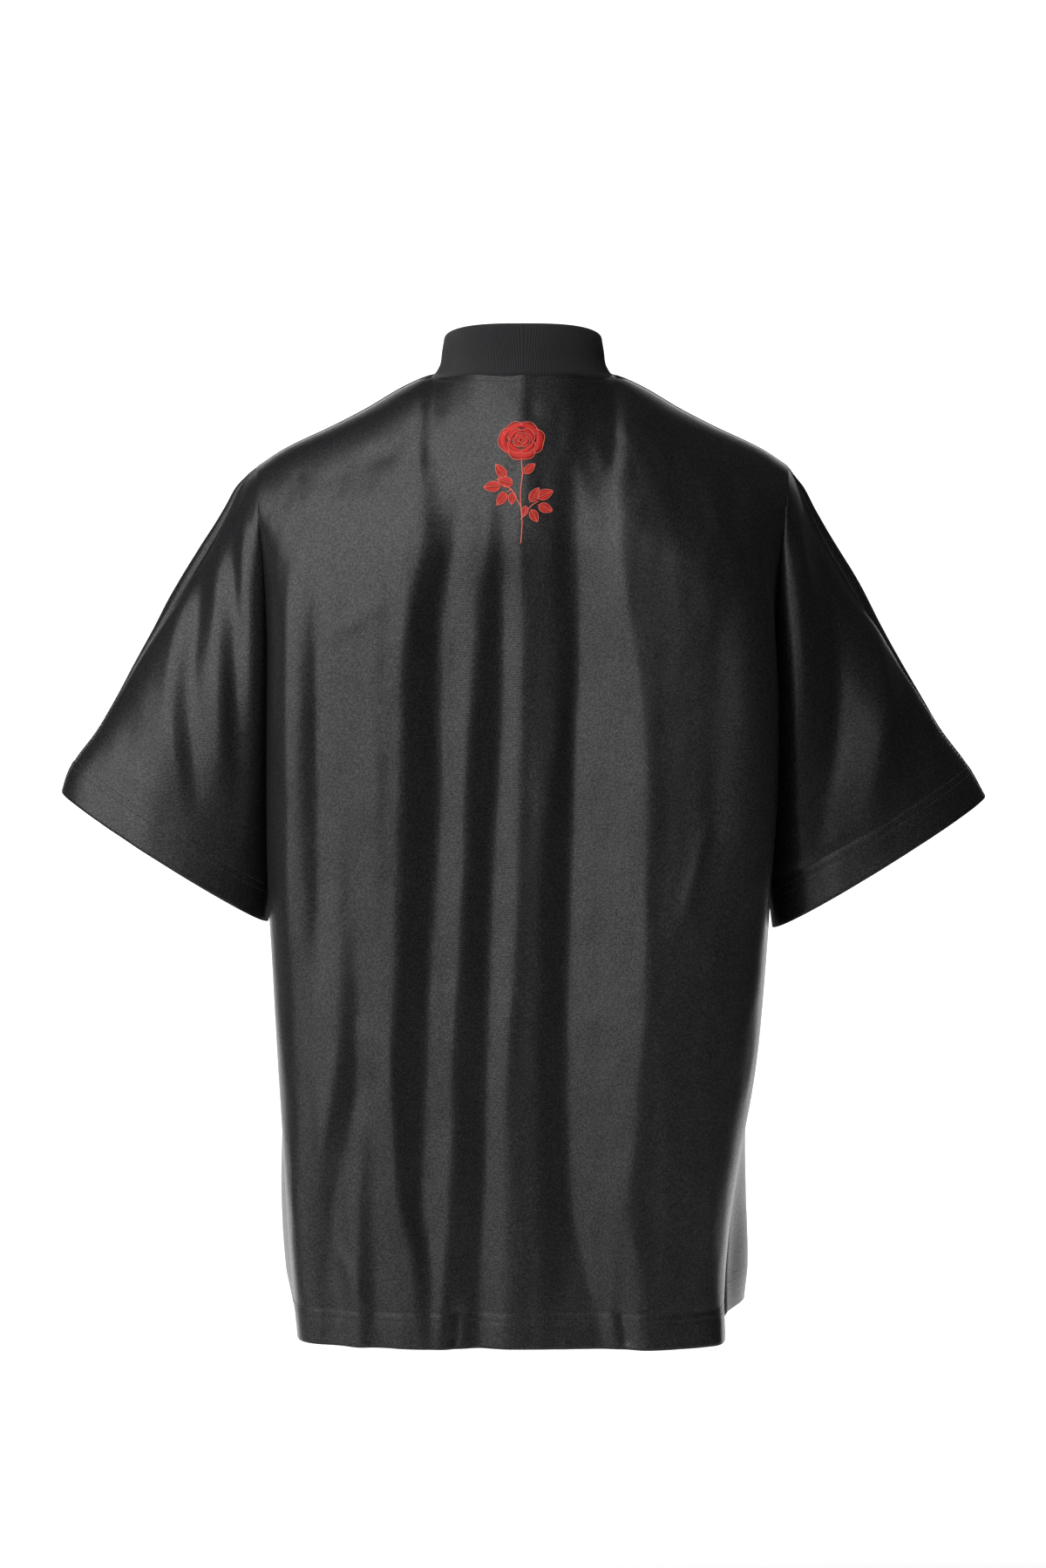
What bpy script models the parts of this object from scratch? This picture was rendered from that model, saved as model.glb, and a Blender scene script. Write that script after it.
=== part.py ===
"""A short, wide-sleeved top in satin knit with a ribbed stand collar.

The garment is kept in its hollow, worn form. It is cut in two panels, a back and a front, each
in one piece with its half of both sleeves, and a rib collar is sewn to the neck. The shoulder
and overarm seams, the underarm seams and the side seams all lie in the plane y = 0.

Metres, +Z up. The front faces -Y, and +X is the wearer's left. The origin is the middle of the
neck, 3.5 mm below the shoulder seams' inner ends, where the wearer's shoulders carry it.
A "drop" is a depth below the origin.
"""
import math
from typing import NamedTuple

import bmesh
import bpy
import numpy as np
from mathutils import Vector

# ---------------------------------------------------------------- driving sizes
GAP = 0.0003                 # between two pieces at a seam
CLOTH = 0.0015               # wall of one layer
TURNED_CLOTH = 0.0024        # wall where the hem is turned up inside
HEM_DEPTH = 0.027            # of the turned hems, at the body and at the sleeves
HEM_STEP = 0.004             # over which the wall thickens at the top of a hem

NECK_HALF_WIDTH = 0.0715     # between the shoulder seams' inner ends, halved
NECK_BACK = 0.056            # of the neck seam behind the shoulder line
NECK_FRONT = 0.072           # of the neck seam in front of it

TIP_HALF_WIDTH = 0.213       # where the sleeve's crease starts on the shoulder seam
TIP_DROP = 0.0710
UNDERARM_DROP = 0.405
BODY_LENGTH = 0.771          # drop of the hem
CUFF_OUTER_DROP = {1: 0.336, -1: 0.340}      # 1 on the wearer's left, -1 on the right
CUFF_INNER_DROP = {1: 0.441, -1: 0.446}
OVERARM_LENGTH = 0.306       # of the seam from the crease's start to the opening
CUFF_TILT = 0.06             # rise of the opening's plane for each metre towards the back

ROLL_PEAK = 0.12             # share of the way round where a panel's edge rolls out furthest
OVERARM_SLOPE = (0.86, 0.50)  # outward direction, across and up, square to the sleeve's outline
FOLD_START = 0.03            # below the top edge, over which folds grow to full height
SLEEVE_FOLD_START = 0.15     # the same on a sleeve, as a share of its length

COLLAR_WALL = 0.0026         # rib folded double
COLLAR_RIBS = 120
RIB_HEIGHT = 0.0004
COLLAR_TOP_HALF = 0.0630
COLLAR_TOP_BACK = 0.053
COLLAR_TOP_FRONT = 0.069
COLLAR_TOP_RISE = 0.0512     # of the top edge at the middle of the back
COLLAR_TOP_SLOPE = 0.377     # fall of the top edge for each metre towards the front
COLLAR_TOP_POWER = 2.6       # of the top edge's plan: 2 is an ellipse, more is fuller
COLLAR_FOLD_RISE = 0.0009    # of the fold above the top edge's corners
COLLAR_GAP = 0.0005          # to the panels, along the slope that they lie on
COLLAR_FOOT_TUCK = 0.0006    # of the inner foot behind the outer one
COLLAR_LEAN_SIDE = 20.0      # degrees that the panels fall away from level at the shoulders
COLLAR_LEAN_MIDDLE = 54.0    # the same at the middle of the back and of the front

# ---------------------------------------------------------------- grid steps
NECK_COLUMNS = 7             # from the middle of the neck to the shoulder seam
SHOULDER_COLUMNS = 12        # from there to the sleeve's crease
UPPER_ROWS = 14              # from the shoulder seam to the underarm
LOWER_ROWS = 11              # from the underarm to the top of the hem
HEM_ROWS = 2                 # of vertices in the turned hem
EVEN_BY = 0.6                # share of the upper rows by which the columns are evenly spread
SLEEVE_COLUMNS = {"back": 11, "front": 10}

SIDES = {"back": 1, "front": -1}


# ---------------------------------------------------------------- tables of sections
class Crest(NamedTuple):
    """The line that the cloth falls from: the shoulder seam, and across the neck its run on."""
    half: float              # distance from the middle
    back: float              # drop, as the back panel falls from it
    front: float
    reach: float             # drop from here to where the cloth hangs plumb
    power: float             # 0.5 for a round crest, more for a sloping one


class OverarmPoint(NamedTuple):
    drop: float
    left: float              # the sleeve's outline, from the middle, on the wearer's left
    right: float
    inset: float             # of the seam behind the outline


class Edge(NamedTuple):
    """The crease between body and sleeve, and below the underarm the side seam."""
    drop: float
    left: float              # distance from the middle on the wearer's left
    right: float
    back: float              # depth of the crease behind the seams' plane
    front: float
    fullness: float          # power of the section across the body: 2 round, 4 boxy
    roundness: float         # power of the section's edge: 1 soft, 0.25 rolled


class UnderarmSeam(NamedTuple):
    drop: float
    left: float
    right: float


class Centre(NamedTuple):
    drop: float
    back: float              # distance of the middle of the back from the seams' plane
    front: float


class SleeveRing(NamedTuple):
    along: float             # 0 at the shoulder, 1 at the opening
    back: float              # bulge behind the line from overarm seam to crease
    front: float
    roundness: float


class SideRoll(NamedTuple):
    """How far each panel rolls out beyond the crease or side seam."""
    drop: float
    back_left: float
    back_right: float
    front_left: float
    front_right: float


class CollarPoint(NamedTuple):
    """A point of the collar's section."""
    up: float                # share of the way from the neck seam to the top edge
    tuck: float              # towards the neck, from the straight line between them
    rib: float               # share of the rib's height that stands here


class FoldLine(NamedTuple):
    """A crest or the bottom of a trough: the cloth runs nearly straight from one line to the next."""
    name: str
    points: tuple            # (x, drop, height) from the top down; the height is outwards


CRESTS = (
    Crest(0.0000, -0.0520, -0.0090, 0.170, 0.80),
    Crest(0.0350, -0.0410, -0.0060, 0.160, 0.78),
    Crest(0.0550, -0.0220, -0.0040, 0.145, 0.70),
    Crest(0.0715, -0.0035, -0.0035, 0.130, 0.58),
    Crest(0.0830, 0.0005, 0.0005, 0.122, 0.52),
    Crest(0.1000, 0.0090, 0.0090, 0.115, 0.50),
    Crest(0.1260, 0.0245, 0.0245, 0.107, 0.50),
    Crest(0.1540, 0.0390, 0.0390, 0.098, 0.50),
    Crest(0.1820, 0.0520, 0.0520, 0.080, 0.50),
    Crest(0.1960, 0.0595, 0.0595, 0.065, 0.50),
    Crest(0.2130, 0.0710, 0.0710, 0.040, 0.50),
)

OVERARM = (
    OverarmPoint(0.0710, 0.2130, 0.2130, 0.000),
    OverarmPoint(0.0780, 0.2210, 0.2175, 0.001),
    OverarmPoint(0.0900, 0.2315, 0.2265, 0.004),
    OverarmPoint(0.1060, 0.2405, 0.2350, 0.006),
    OverarmPoint(0.1350, 0.2575, 0.2510, 0.008),
    OverarmPoint(0.1760, 0.2825, 0.2745, 0.008),
    OverarmPoint(0.2040, 0.2985, 0.2900, 0.005),
    OverarmPoint(0.2320, 0.3145, 0.3060, 0.003),
    OverarmPoint(0.2600, 0.3295, 0.3230, 0.002),
    OverarmPoint(0.2880, 0.3460, 0.3400, 0.002),
    OverarmPoint(0.3160, 0.3665, 0.3610, 0.002),
    OverarmPoint(0.3400, 0.3745, 0.3740, 0.001),
)

ROUNDING = ((-0.0056, 0.06), (-0.0028, 0.25), (0.0, 0.38), (0.0028, 0.25), (0.0056, 0.06))

EDGES = (
    Edge(0.0710, 0.2130, 0.2130, 0.052, -0.052, 2.8, 1.00),
    Edge(0.1000, 0.2115, 0.2105, 0.053, -0.054, 3.6, 0.88),
    Edge(0.1300, 0.2095, 0.2070, 0.051, -0.053, 5.0, 0.72),
    Edge(0.1800, 0.2070, 0.2030, 0.044, -0.048, 7.5, 0.52),
    Edge(0.2500, 0.2055, 0.2000, 0.032, -0.037, 9.5, 0.40),
    Edge(0.3300, 0.2035, 0.1970, 0.016, -0.020, 10.5, 0.34),
    Edge(0.4050, 0.2010, 0.1950, 0.00165, -0.00165, 11.0, 0.31),
    Edge(0.4700, 0.1985, 0.1925, 0.00015, -0.00015, 11.0, 0.29),
    Edge(0.5500, 0.1960, 0.1870, 0.00015, -0.00015, 11.0, 0.27),
    Edge(0.6200, 0.1925, 0.1760, 0.00015, -0.00015, 11.0, 0.26),
    Edge(0.6800, 0.1890, 0.1670, 0.00015, -0.00015, 11.0, 0.25),
    Edge(0.7400, 0.1850, 0.1620, 0.00015, -0.00015, 11.0, 0.25),
    Edge(0.7710, 0.1820, 0.1630, 0.00015, -0.00015, 11.0, 0.25),
)

UNDERARM_SEAMS = (
    UnderarmSeam(0.4050, 0.2010, 0.1950),
    UnderarmSeam(0.4200, 0.2035, 0.1980),
    UnderarmSeam(0.4460, 0.2060, 0.2015),
)

CENTRES = (
    Centre(-0.010, 0.112, -0.118),
    Centre(0.060, 0.112, -0.122),
    Centre(0.130, 0.112, -0.130),
    Centre(0.220, 0.111, -0.139),
    Centre(0.378, 0.110, -0.143),
    Centre(0.560, 0.108, -0.143),
    Centre(0.771, 0.104, -0.141),
)

SLEEVE_RINGS = (
    SleeveRing(0.00, 0.000, 0.000, 1.00),
    SleeveRing(0.04, 0.010, 0.010, 1.00),
    SleeveRing(0.12, 0.018, 0.019, 0.85),
    SleeveRing(0.25, 0.029, 0.031, 0.62),
    SleeveRing(0.45, 0.042, 0.045, 0.46),
    SleeveRing(0.65, 0.049, 0.053, 0.40),
    SleeveRing(0.85, 0.053, 0.057, 0.38),
    SleeveRing(1.00, 0.055, 0.059, 0.38),
)

SIDE_ROLLS = (
    SideRoll(0.200, 0.000, 0.000, 0.000, 0.000),
    SideRoll(0.300, 0.003, 0.003, 0.000, 0.000),
    SideRoll(0.405, 0.006, 0.005, 0.000, 0.000),
    SideRoll(0.470, 0.005, 0.004, 0.001, 0.001),
    SideRoll(0.550, 0.003, 0.002, 0.003, 0.002),
    SideRoll(0.620, 0.002, 0.001, 0.006, 0.008),
    SideRoll(0.680, 0.002, 0.001, 0.011, 0.018),
    SideRoll(0.740, 0.001, 0.001, 0.012, 0.025),
    SideRoll(0.771, 0.001, 0.001, 0.009, 0.021),
)

COLLAR_SECTION = (
    CollarPoint(0.00, 0.0000, 0.0),
    CollarPoint(0.06, 0.0018, 1.0),
    CollarPoint(0.26, 0.0032, 1.0),
    CollarPoint(0.62, 0.0015, 1.0),
    CollarPoint(1.00, 0.0000, 0.6),
)

# Each panel's lines run from the wearer's left to the right.
BODY_FOLDS = {
    "back": (
        FoldLine("left_end", ((0.205, 0.00, 0.000), (0.205, 0.77, 0.000))),
        FoldLine("left_edge", ((0.185, 0.12, 0.000), (0.184, 0.18, 0.007), (0.184, 0.41, 0.007),
                               (0.184, 0.50, 0.003), (0.184, 0.58, 0.003), (0.183, 0.66, 0.006),
                               (0.180, 0.77, 0.007))),
        FoldLine("left_edge_trough", ((0.166, 0.12, 0.000), (0.165, 0.18, -0.001), (0.164, 0.41, -0.001),
                                      (0.168, 0.50, 0.002), (0.171, 0.58, 0.002), (0.170, 0.66, 0.000),
                                      (0.168, 0.77, 0.000))),
        FoldLine("hip_crest", ((0.150, 0.05, -0.004), (0.150, 0.20, 0.003), (0.150, 0.38, 0.003),
                               (0.147, 0.50, 0.007), (0.152, 0.56, 0.008), (0.161, 0.61, 0.006),
                               (0.164, 0.65, 0.000), (0.160, 0.70, -0.003), (0.157, 0.77, -0.003))),
        FoldLine("hip_trough", ((0.135, 0.05, -0.005), (0.135, 0.20, 0.006), (0.135, 0.38, 0.006),
                                (0.131, 0.50, 0.005), (0.133, 0.56, 0.003), (0.141, 0.60, 0.002),
                                (0.151, 0.64, -0.003), (0.151, 0.70, -0.004), (0.149, 0.77, -0.003))),
        FoldLine("hem_crest", ((0.124, 0.05, -0.0055), (0.124, 0.20, 0.008), (0.124, 0.50, 0.008),
                               (0.124, 0.56, 0.007), (0.130, 0.62, 0.006), (0.132, 0.68, 0.006),
                               (0.132, 0.77, 0.005))),
        FoldLine("hem_groove", ((0.118, 0.05, -0.0055), (0.118, 0.20, 0.010), (0.118, 0.50, 0.010),
                                (0.118, 0.56, 0.009), (0.119, 0.62, 0.007), (0.119, 0.70, 0.004),
                                (0.119, 0.77, 0.003))),
        FoldLine("left_blade", ((0.079, 0.05, -0.0050), (0.079, 0.11, 0.009), (0.0875, 0.156, 0.013),
                                (0.093, 0.20, 0.015), (0.096, 0.28, 0.015), (0.099, 0.37, 0.015),
                                (0.100, 0.45, 0.015), (0.1055, 0.54, 0.015), (0.103, 0.59, 0.015),
                                (0.0985, 0.65, 0.014), (0.088, 0.70, 0.013), (0.083, 0.77, 0.011))),
        FoldLine("left_trough", ((0.0460, 0.05, -0.0015), (0.0555, 0.11, 0.0045), (0.0645, 0.156, 0.004),
                                 (0.067, 0.20, 0.004), (0.066, 0.28, 0.004), (0.0695, 0.37, 0.004),
                                 (0.075, 0.45, 0.004), (0.078, 0.54, 0.004), (0.081, 0.60, 0.004),
                                 (0.082, 0.65, 0.005), (0.076, 0.70, 0.008), (0.074, 0.77, 0.011))),
        FoldLine("left_of_middle", ((0.024, 0.05, 0.0012), (0.0257, 0.11, 0.0105), (0.033, 0.156, 0.011),
                                    (0.0355, 0.20, 0.012), (0.044, 0.28, 0.012), (0.047, 0.37, 0.012),
                                    (0.050, 0.45, 0.012), (0.0555, 0.54, 0.012), (0.056, 0.59, 0.012),
                                    (0.059, 0.67, 0.013), (0.062, 0.71, 0.013), (0.068, 0.77, 0.013))),
        FoldLine("middle_trough", ((0.018, 0.05, 0.0020), (0.0185, 0.11, 0.009), (0.0165, 0.156, 0.005),
                                   (0.0167, 0.20, 0.004), (0.018, 0.28, 0.003), (0.0243, 0.37, 0.003),
                                   (0.027, 0.45, 0.003), (0.029, 0.54, 0.003), (0.031, 0.62, 0.003),
                                   (0.036, 0.70, 0.003), (0.036, 0.77, 0.003))),
        FoldLine("middle", ((0.001, -0.06, 0.004), (0.001, 0.05, 0.0042), (0.003, 0.11, 0.012),
                            (0.002, 0.20, 0.010), (0.004, 0.28, 0.010), (0.005, 0.37, 0.010),
                            (0.007, 0.45, 0.011), (0.013, 0.54, 0.011), (0.0145, 0.60, 0.011),
                            (0.0145, 0.70, 0.011), (0.016, 0.77, 0.011))),
        FoldLine("middle_right", ((-0.026, -0.06, 0.002), (-0.026, 0.05, 0.0025), (-0.024, 0.11, 0.009),
                                  (-0.028, 0.20, 0.008), (-0.026, 0.28, 0.009), (-0.0155, 0.37, 0.010),
                                  (-0.014, 0.45, 0.010), (-0.014, 0.77, 0.010))),
        FoldLine("right_trough", ((-0.040, -0.06, 0.001), (-0.040, 0.05, 0.0015), (-0.0415, 0.11, 0.003),
                                  (-0.043, 0.20, 0.001), (-0.040, 0.28, 0.001), (-0.038, 0.37, 0.001),
                                  (-0.035, 0.45, 0.001), (-0.033, 0.54, 0.001), (-0.035, 0.59, 0.001),
                                  (-0.038, 0.65, 0.001), (-0.048, 0.70, 0.003), (-0.066, 0.77, 0.007))),
        FoldLine("right_blade", ((-0.074, 0.04, 0.0018), (-0.077, 0.11, 0.015), (-0.082, 0.156, 0.018),
                                 (-0.0895, 0.20, 0.020), (-0.096, 0.28, 0.021), (-0.097, 0.37, 0.021),
                                 (-0.097, 0.45, 0.021), (-0.093, 0.54, 0.021), (-0.089, 0.60, 0.019),
                                 (-0.083, 0.66, 0.017), (-0.097, 0.71, 0.016), (-0.099, 0.77, 0.015))),
        FoldLine("right_flat", ((-0.146, 0.04, 0.0012), (-0.148, 0.11, 0.013), (-0.151, 0.18, 0.017),
                                (-0.151, 0.30, 0.018), (-0.150, 0.45, 0.018), (-0.146, 0.60, 0.014),
                                (-0.142, 0.77, 0.008))),
        FoldLine("right_side", ((-0.183, 0.08, 0.002), (-0.185, 0.15, 0.014), (-0.186, 0.22, 0.025),
                                (-0.186, 0.30, 0.028), (-0.184, 0.38, 0.022), (-0.180, 0.46, 0.013),
                                (-0.165, 0.60, 0.007), (-0.155, 0.70, 0.006), (-0.152, 0.77, 0.012))),
        FoldLine("right_end", ((-0.207, 0.00, 0.000), (-0.200, 0.50, 0.000), (-0.172, 0.77, 0.000))),
    ),
    "front": (
        FoldLine("left_end", ((0.205, 0.00, 0.000), (0.205, 0.77, 0.000))),
        FoldLine("left_fall", ((0.152, 0.12, 0.000), (0.150, 0.24, 0.009), (0.146, 0.77, 0.007))),
        FoldLine("left_trough", ((0.122, 0.12, 0.000), (0.119, 0.24, -0.002), (0.114, 0.77, -0.003))),
        FoldLine("left_chest", ((0.090, 0.10, 0.000), (0.086, 0.26, 0.009), (0.080, 0.77, 0.011))),
        FoldLine("left_middle_trough", ((0.052, 0.12, 0.000), (0.047, 0.30, -0.002),
                                        (0.042, 0.77, -0.003))),
        FoldLine("middle", ((0.014, 0.16, 0.000), (0.010, 0.34, 0.009), (0.004, 0.77, 0.012))),
        FoldLine("right_middle_trough", ((-0.030, 0.12, 0.000), (-0.032, 0.30, -0.002),
                                         (-0.036, 0.77, -0.003))),
        FoldLine("right_chest", ((-0.074, 0.10, 0.000), (-0.077, 0.26, 0.010), (-0.082, 0.77, 0.012))),
        FoldLine("right_trough", ((-0.112, 0.12, 0.000), (-0.113, 0.26, -0.001), (-0.114, 0.77, -0.002))),
        FoldLine("right_fall", ((-0.144, 0.12, 0.000), (-0.143, 0.24, 0.008), (-0.138, 0.77, 0.006))),
        FoldLine("right_end", ((-0.207, 0.00, 0.000), (-0.200, 0.50, 0.000), (-0.172, 0.77, 0.000))),
    ),
}

SLEEVE_FOLDS = {
    "back": (
        FoldLine("left_end", ((0.310, 0.00, 0.000), (0.330, 0.45, 0.000))),
        FoldLine("left_outer_crest", ((0.2525, 0.10, 0.000), (0.2625, 0.14, 0.005), (0.2735, 0.20, 0.007),
                                      (0.2805, 0.25, 0.007), (0.278, 0.29, 0.006), (0.270, 0.35, 0.000))),
        FoldLine("left_outer_trough", ((0.245, 0.10, 0.000), (0.254, 0.14, -0.002), (0.264, 0.20, -0.003),
                                       (0.2695, 0.25, -0.003), (0.2665, 0.29, -0.002),
                                       (0.260, 0.35, 0.000))),
        FoldLine("left_middle_crest", ((0.238, 0.10, 0.000), (0.2435, 0.14, 0.004), (0.2435, 0.20, 0.006),
                                       (0.2425, 0.25, 0.006), (0.2415, 0.29, 0.005), (0.242, 0.35, 0.000))),
        FoldLine("left_inner_trough", ((0.229, 0.10, 0.000), (0.2305, 0.14, 0.000), (0.2295, 0.20, -0.001),
                                       (0.2285, 0.25, -0.001), (0.228, 0.30, 0.000), (0.230, 0.36, 0.000))),
        FoldLine("left_inner_crest", ((0.220, 0.08, 0.000), (0.221, 0.13, 0.006), (0.2185, 0.20, 0.009),
                                      (0.2180, 0.26, 0.009), (0.218, 0.32, 0.005), (0.219, 0.38, 0.000))),
        FoldLine("middle", ((0.000, 0.00, 0.000), (0.000, 0.45, 0.000))),
        FoldLine("right_inner_crest", ((-0.218, 0.08, 0.000), (-0.2205, 0.13, 0.005),
                                       (-0.2215, 0.20, 0.008), (-0.2215, 0.28, 0.008),
                                       (-0.223, 0.34, 0.006), (-0.230, 0.40, 0.002))),
        FoldLine("right_trough", ((-0.230, 0.08, 0.000), (-0.236, 0.127, -0.004), (-0.2465, 0.17, -0.005),
                                  (-0.2535, 0.226, -0.006), (-0.2515, 0.283, -0.006),
                                  (-0.2405, 0.34, -0.002), (-0.238, 0.38, 0.000))),
        FoldLine("right_crest", ((-0.248, 0.08, 0.000), (-0.266, 0.127, 0.005), (-0.278, 0.17, 0.007),
                                 (-0.286, 0.226, 0.009), (-0.288, 0.283, 0.009), (-0.278, 0.34, 0.004),
                                 (-0.270, 0.38, 0.000))),
        FoldLine("right_outer_trough", ((-0.262, 0.08, 0.000), (-0.284, 0.15, 0.000), (-0.306, 0.24, 0.000),
                                        (-0.312, 0.30, 0.000), (-0.320, 0.38, 0.000))),
        FoldLine("right_end", ((-0.320, 0.00, 0.000), (-0.340, 0.45, 0.000))),
    ),
    "front": (
        FoldLine("left_end", ((0.310, 0.00, 0.000), (0.330, 0.45, 0.000))),
        FoldLine("left_crest", ((0.252, 0.10, 0.000), (0.262, 0.18, 0.006), (0.270, 0.27, 0.006),
                                (0.272, 0.36, 0.000))),
        FoldLine("left_trough", ((0.232, 0.10, 0.000), (0.238, 0.18, -0.003), (0.242, 0.27, -0.003),
                                 (0.246, 0.36, 0.000))),
        FoldLine("middle", ((0.000, 0.00, 0.000), (0.000, 0.45, 0.000))),
        FoldLine("right_trough", ((-0.234, 0.10, 0.000), (-0.240, 0.18, -0.003), (-0.244, 0.27, -0.003),
                                  (-0.248, 0.36, 0.000))),
        FoldLine("right_crest", ((-0.254, 0.10, 0.000), (-0.264, 0.18, 0.006), (-0.272, 0.27, 0.006),
                                 (-0.276, 0.36, 0.000))),
        FoldLine("right_end", ((-0.320, 0.00, 0.000), (-0.340, 0.45, 0.000))),
    ),
}


# ---------------------------------------------------------------- small helpers
def smooth_step(value):
    """0 below 0, 1 above 1, and an even curve between."""
    held = min(1.0, max(0.0, value))
    return held * held * (3.0 - 2.0 * held)


def smooth_curve(stations, values, at):
    """The value at `at` on a smooth curve through the stations, level beyond its ends."""
    last = len(stations) - 1
    at = min(stations[last], max(stations[0], at))
    low = 0
    while low < last - 1 and at > stations[low + 1]:
        low += 1

    def slope(index):
        before = max(0, index - 1)
        after = min(last, index + 1)
        return (values[after] - values[before]) / (stations[after] - stations[before])

    span = stations[low + 1] - stations[low]
    part = (at - stations[low]) / span
    rise = values[low + 1] - values[low]
    pull_start = slope(low) * span - rise
    pull_end = rise - slope(low + 1) * span
    return values[low] + part * rise + part * (1 - part) * ((1 - part) * pull_start + part * pull_end)


def read_table(table, column, at):
    """A smooth value of one column where the table's first column is `at`."""
    return smooth_curve([row[0] for row in table], [getattr(row, column) for row in table], at)


def fold_height(lines, x, drop):
    """How far the folds move the cloth out at a place seen from the back or the front."""
    places = []
    heights = []
    for line in lines:
        drops = [point[1] for point in line.points]
        places.append(smooth_curve(drops, [point[0] for point in line.points], drop))
        heights.append(smooth_curve(drops, [point[2] for point in line.points], drop))
    height = 0.0
    for offset, weight in ROUNDING:
        for index in range(len(lines) - 1):
            width = max(places[index] - places[index + 1], 1e-4)
            part = min(1.0, max(0.0, (places[index] - x - offset) / width))
            height += weight * part * (heights[index + 1] - heights[index])
    return height


# ---------------------------------------------------------------- the smooth form
def fall_share(face, x, drop):
    """How much of its full depth the cloth has reached at a drop below the crest."""
    below = drop - read_table(CRESTS, face, x)
    part = min(1.0, max(0.0, below / read_table(CRESTS, "reach", x)))
    return (2 * part - part * part) ** read_table(CRESTS, "power", x)


def full_depth(face, hand, share, drop):
    """Distance of the hanging cloth from the seams' plane, where it hangs plumb."""
    edge = read_table(EDGES, face, drop)
    centre = read_table(CENTRES, face, drop)
    fullness = read_table(EDGES, "fullness", drop)
    roundness = read_table(EDGES, "roundness", drop)
    return edge + (centre - edge) * (1 - share ** fullness) ** roundness


def neck_stations():
    """Angles round half of the neck, from the middle to the shoulder seam."""
    return [math.pi / 2 * step / NECK_COLUMNS for step in range(NECK_COLUMNS + 1)]


def neck_point(angle, face):
    """A point of the neck seam, on the panel's form; angle 0 is its middle."""
    side = SIDES[face]
    x = NECK_HALF_WIDTH * math.sin(angle)
    out = (NECK_BACK if side > 0 else NECK_FRONT) * math.cos(angle)
    drop = read_table(CRESTS, face, x)
    for _ in range(4):
        depth = abs(full_depth(face, 1, x / TIP_HALF_WIDTH, max(drop, TIP_DROP)))
        risen = min(1.0, out / depth) ** (1 / read_table(CRESTS, "power", x))
        part = 1 - math.sqrt(1 - risen)
        drop = read_table(CRESTS, face, x) + read_table(CRESTS, "reach", x) * part
    return Vector((x, side * (out + GAP / 2), -drop))


def column_shares():
    """Each column's place from the middle (0) to the crease (1), at the top and lower down."""
    neck_share = NECK_HALF_WIDTH / TIP_HALF_WIDTH
    top = [neck_share * math.sin(angle) for angle in neck_stations()]
    start = math.asin(neck_share)
    for step in range(1, SHOULDER_COLUMNS + 1):
        angle = start + (math.pi / 2 - start) * step / SHOULDER_COLUMNS
        top.append(math.sin(angle))
    count = len(top) - 1
    even = [math.sin(math.pi / 2 * step / count) for step in range(count + 1)]
    return top, even


def top_edge(share, face):
    """The panel's top edge at a share of the half width: neck seam, then shoulder seam."""
    x = share * TIP_HALF_WIDTH
    if x < NECK_HALF_WIDTH - 1e-6:
        return neck_point(math.asin(x / NECK_HALF_WIDTH), face)
    return Vector((x, SIDES[face] * GAP / 2, -read_table(CRESTS, face, x)))


# ---------------------------------------------------------------- the panels
def row_plan():
    """Rows of the body: the share from the top edge to the underarm, then drops to the hem."""
    upper = [(row / UPPER_ROWS) ** 2 for row in range(UPPER_ROWS + 1)]
    hem_top = BODY_LENGTH - HEM_DEPTH - HEM_STEP
    step = (hem_top - UNDERARM_DROP) / LOWER_ROWS
    lower = [UNDERARM_DROP + step * row for row in range(1, LOWER_ROWS + 1)]
    return upper, lower + [BODY_LENGTH - HEM_DEPTH, BODY_LENGTH]


def body_point(share, hand, drop, face):
    """A point of the body's smooth form below the top edge.

    share runs from 0 at the middle to 1 at the crease or side seam, hand is 1 on the wearer's
    left and -1 on the right, and face is "back" or "front".
    """
    level = max(drop, TIP_DROP)
    half = read_table(EDGES, "left" if hand > 0 else "right", level)
    x = half * share
    y = full_depth(face, hand, share, level) * fall_share(face, TIP_HALF_WIDTH * share, drop)
    from_edge = (1 - math.asin(min(1.0, share)) / (math.pi / 2)) / ROLL_PEAK
    roll = read_table(SIDE_ROLLS, face + ("_left" if hand > 0 else "_right"), drop)
    x += roll * from_edge * math.exp(1 - from_edge)
    return Vector((hand * x, y, -drop))


def body_grid(face):
    """Rows of points from the wearer's left crease to the right one."""
    upper, lower = row_plan()
    top_shares, even_shares = column_shares()
    halves = list(zip(top_shares, even_shares))
    columns = [(1, *shares) for shares in halves[::-1]] + [(-1, *shares) for shares in halves[1:]]
    bare = []
    heights = []
    for row in range(len(upper) + len(lower)):
        blend = smooth_step(row / (EVEN_BY * UPPER_ROWS))
        line = []
        lift = []
        for hand, top_share, even_share in columns:
            share = top_share + (even_share - top_share) * blend
            edge = top_edge(share, face)
            if row == 0:
                line.append(Vector((hand * edge.x, edge.y, edge.z)))
                lift.append(0.0)
                continue
            drop = lower[row - len(upper)] if row >= len(upper) else (
                -edge.z + (UNDERARM_DROP + edge.z) * upper[row])
            point = body_point(share, hand, drop, face)
            fade = (1 - share ** 24) * smooth_step((drop + edge.z) / FOLD_START)
            line.append(point)
            lift.append(fade * fold_height(BODY_FOLDS[face], point.x, drop))
        bare.append(line)
        heights.append(lift)
    return raise_folds(bare, heights, SIDES[face])


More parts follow.
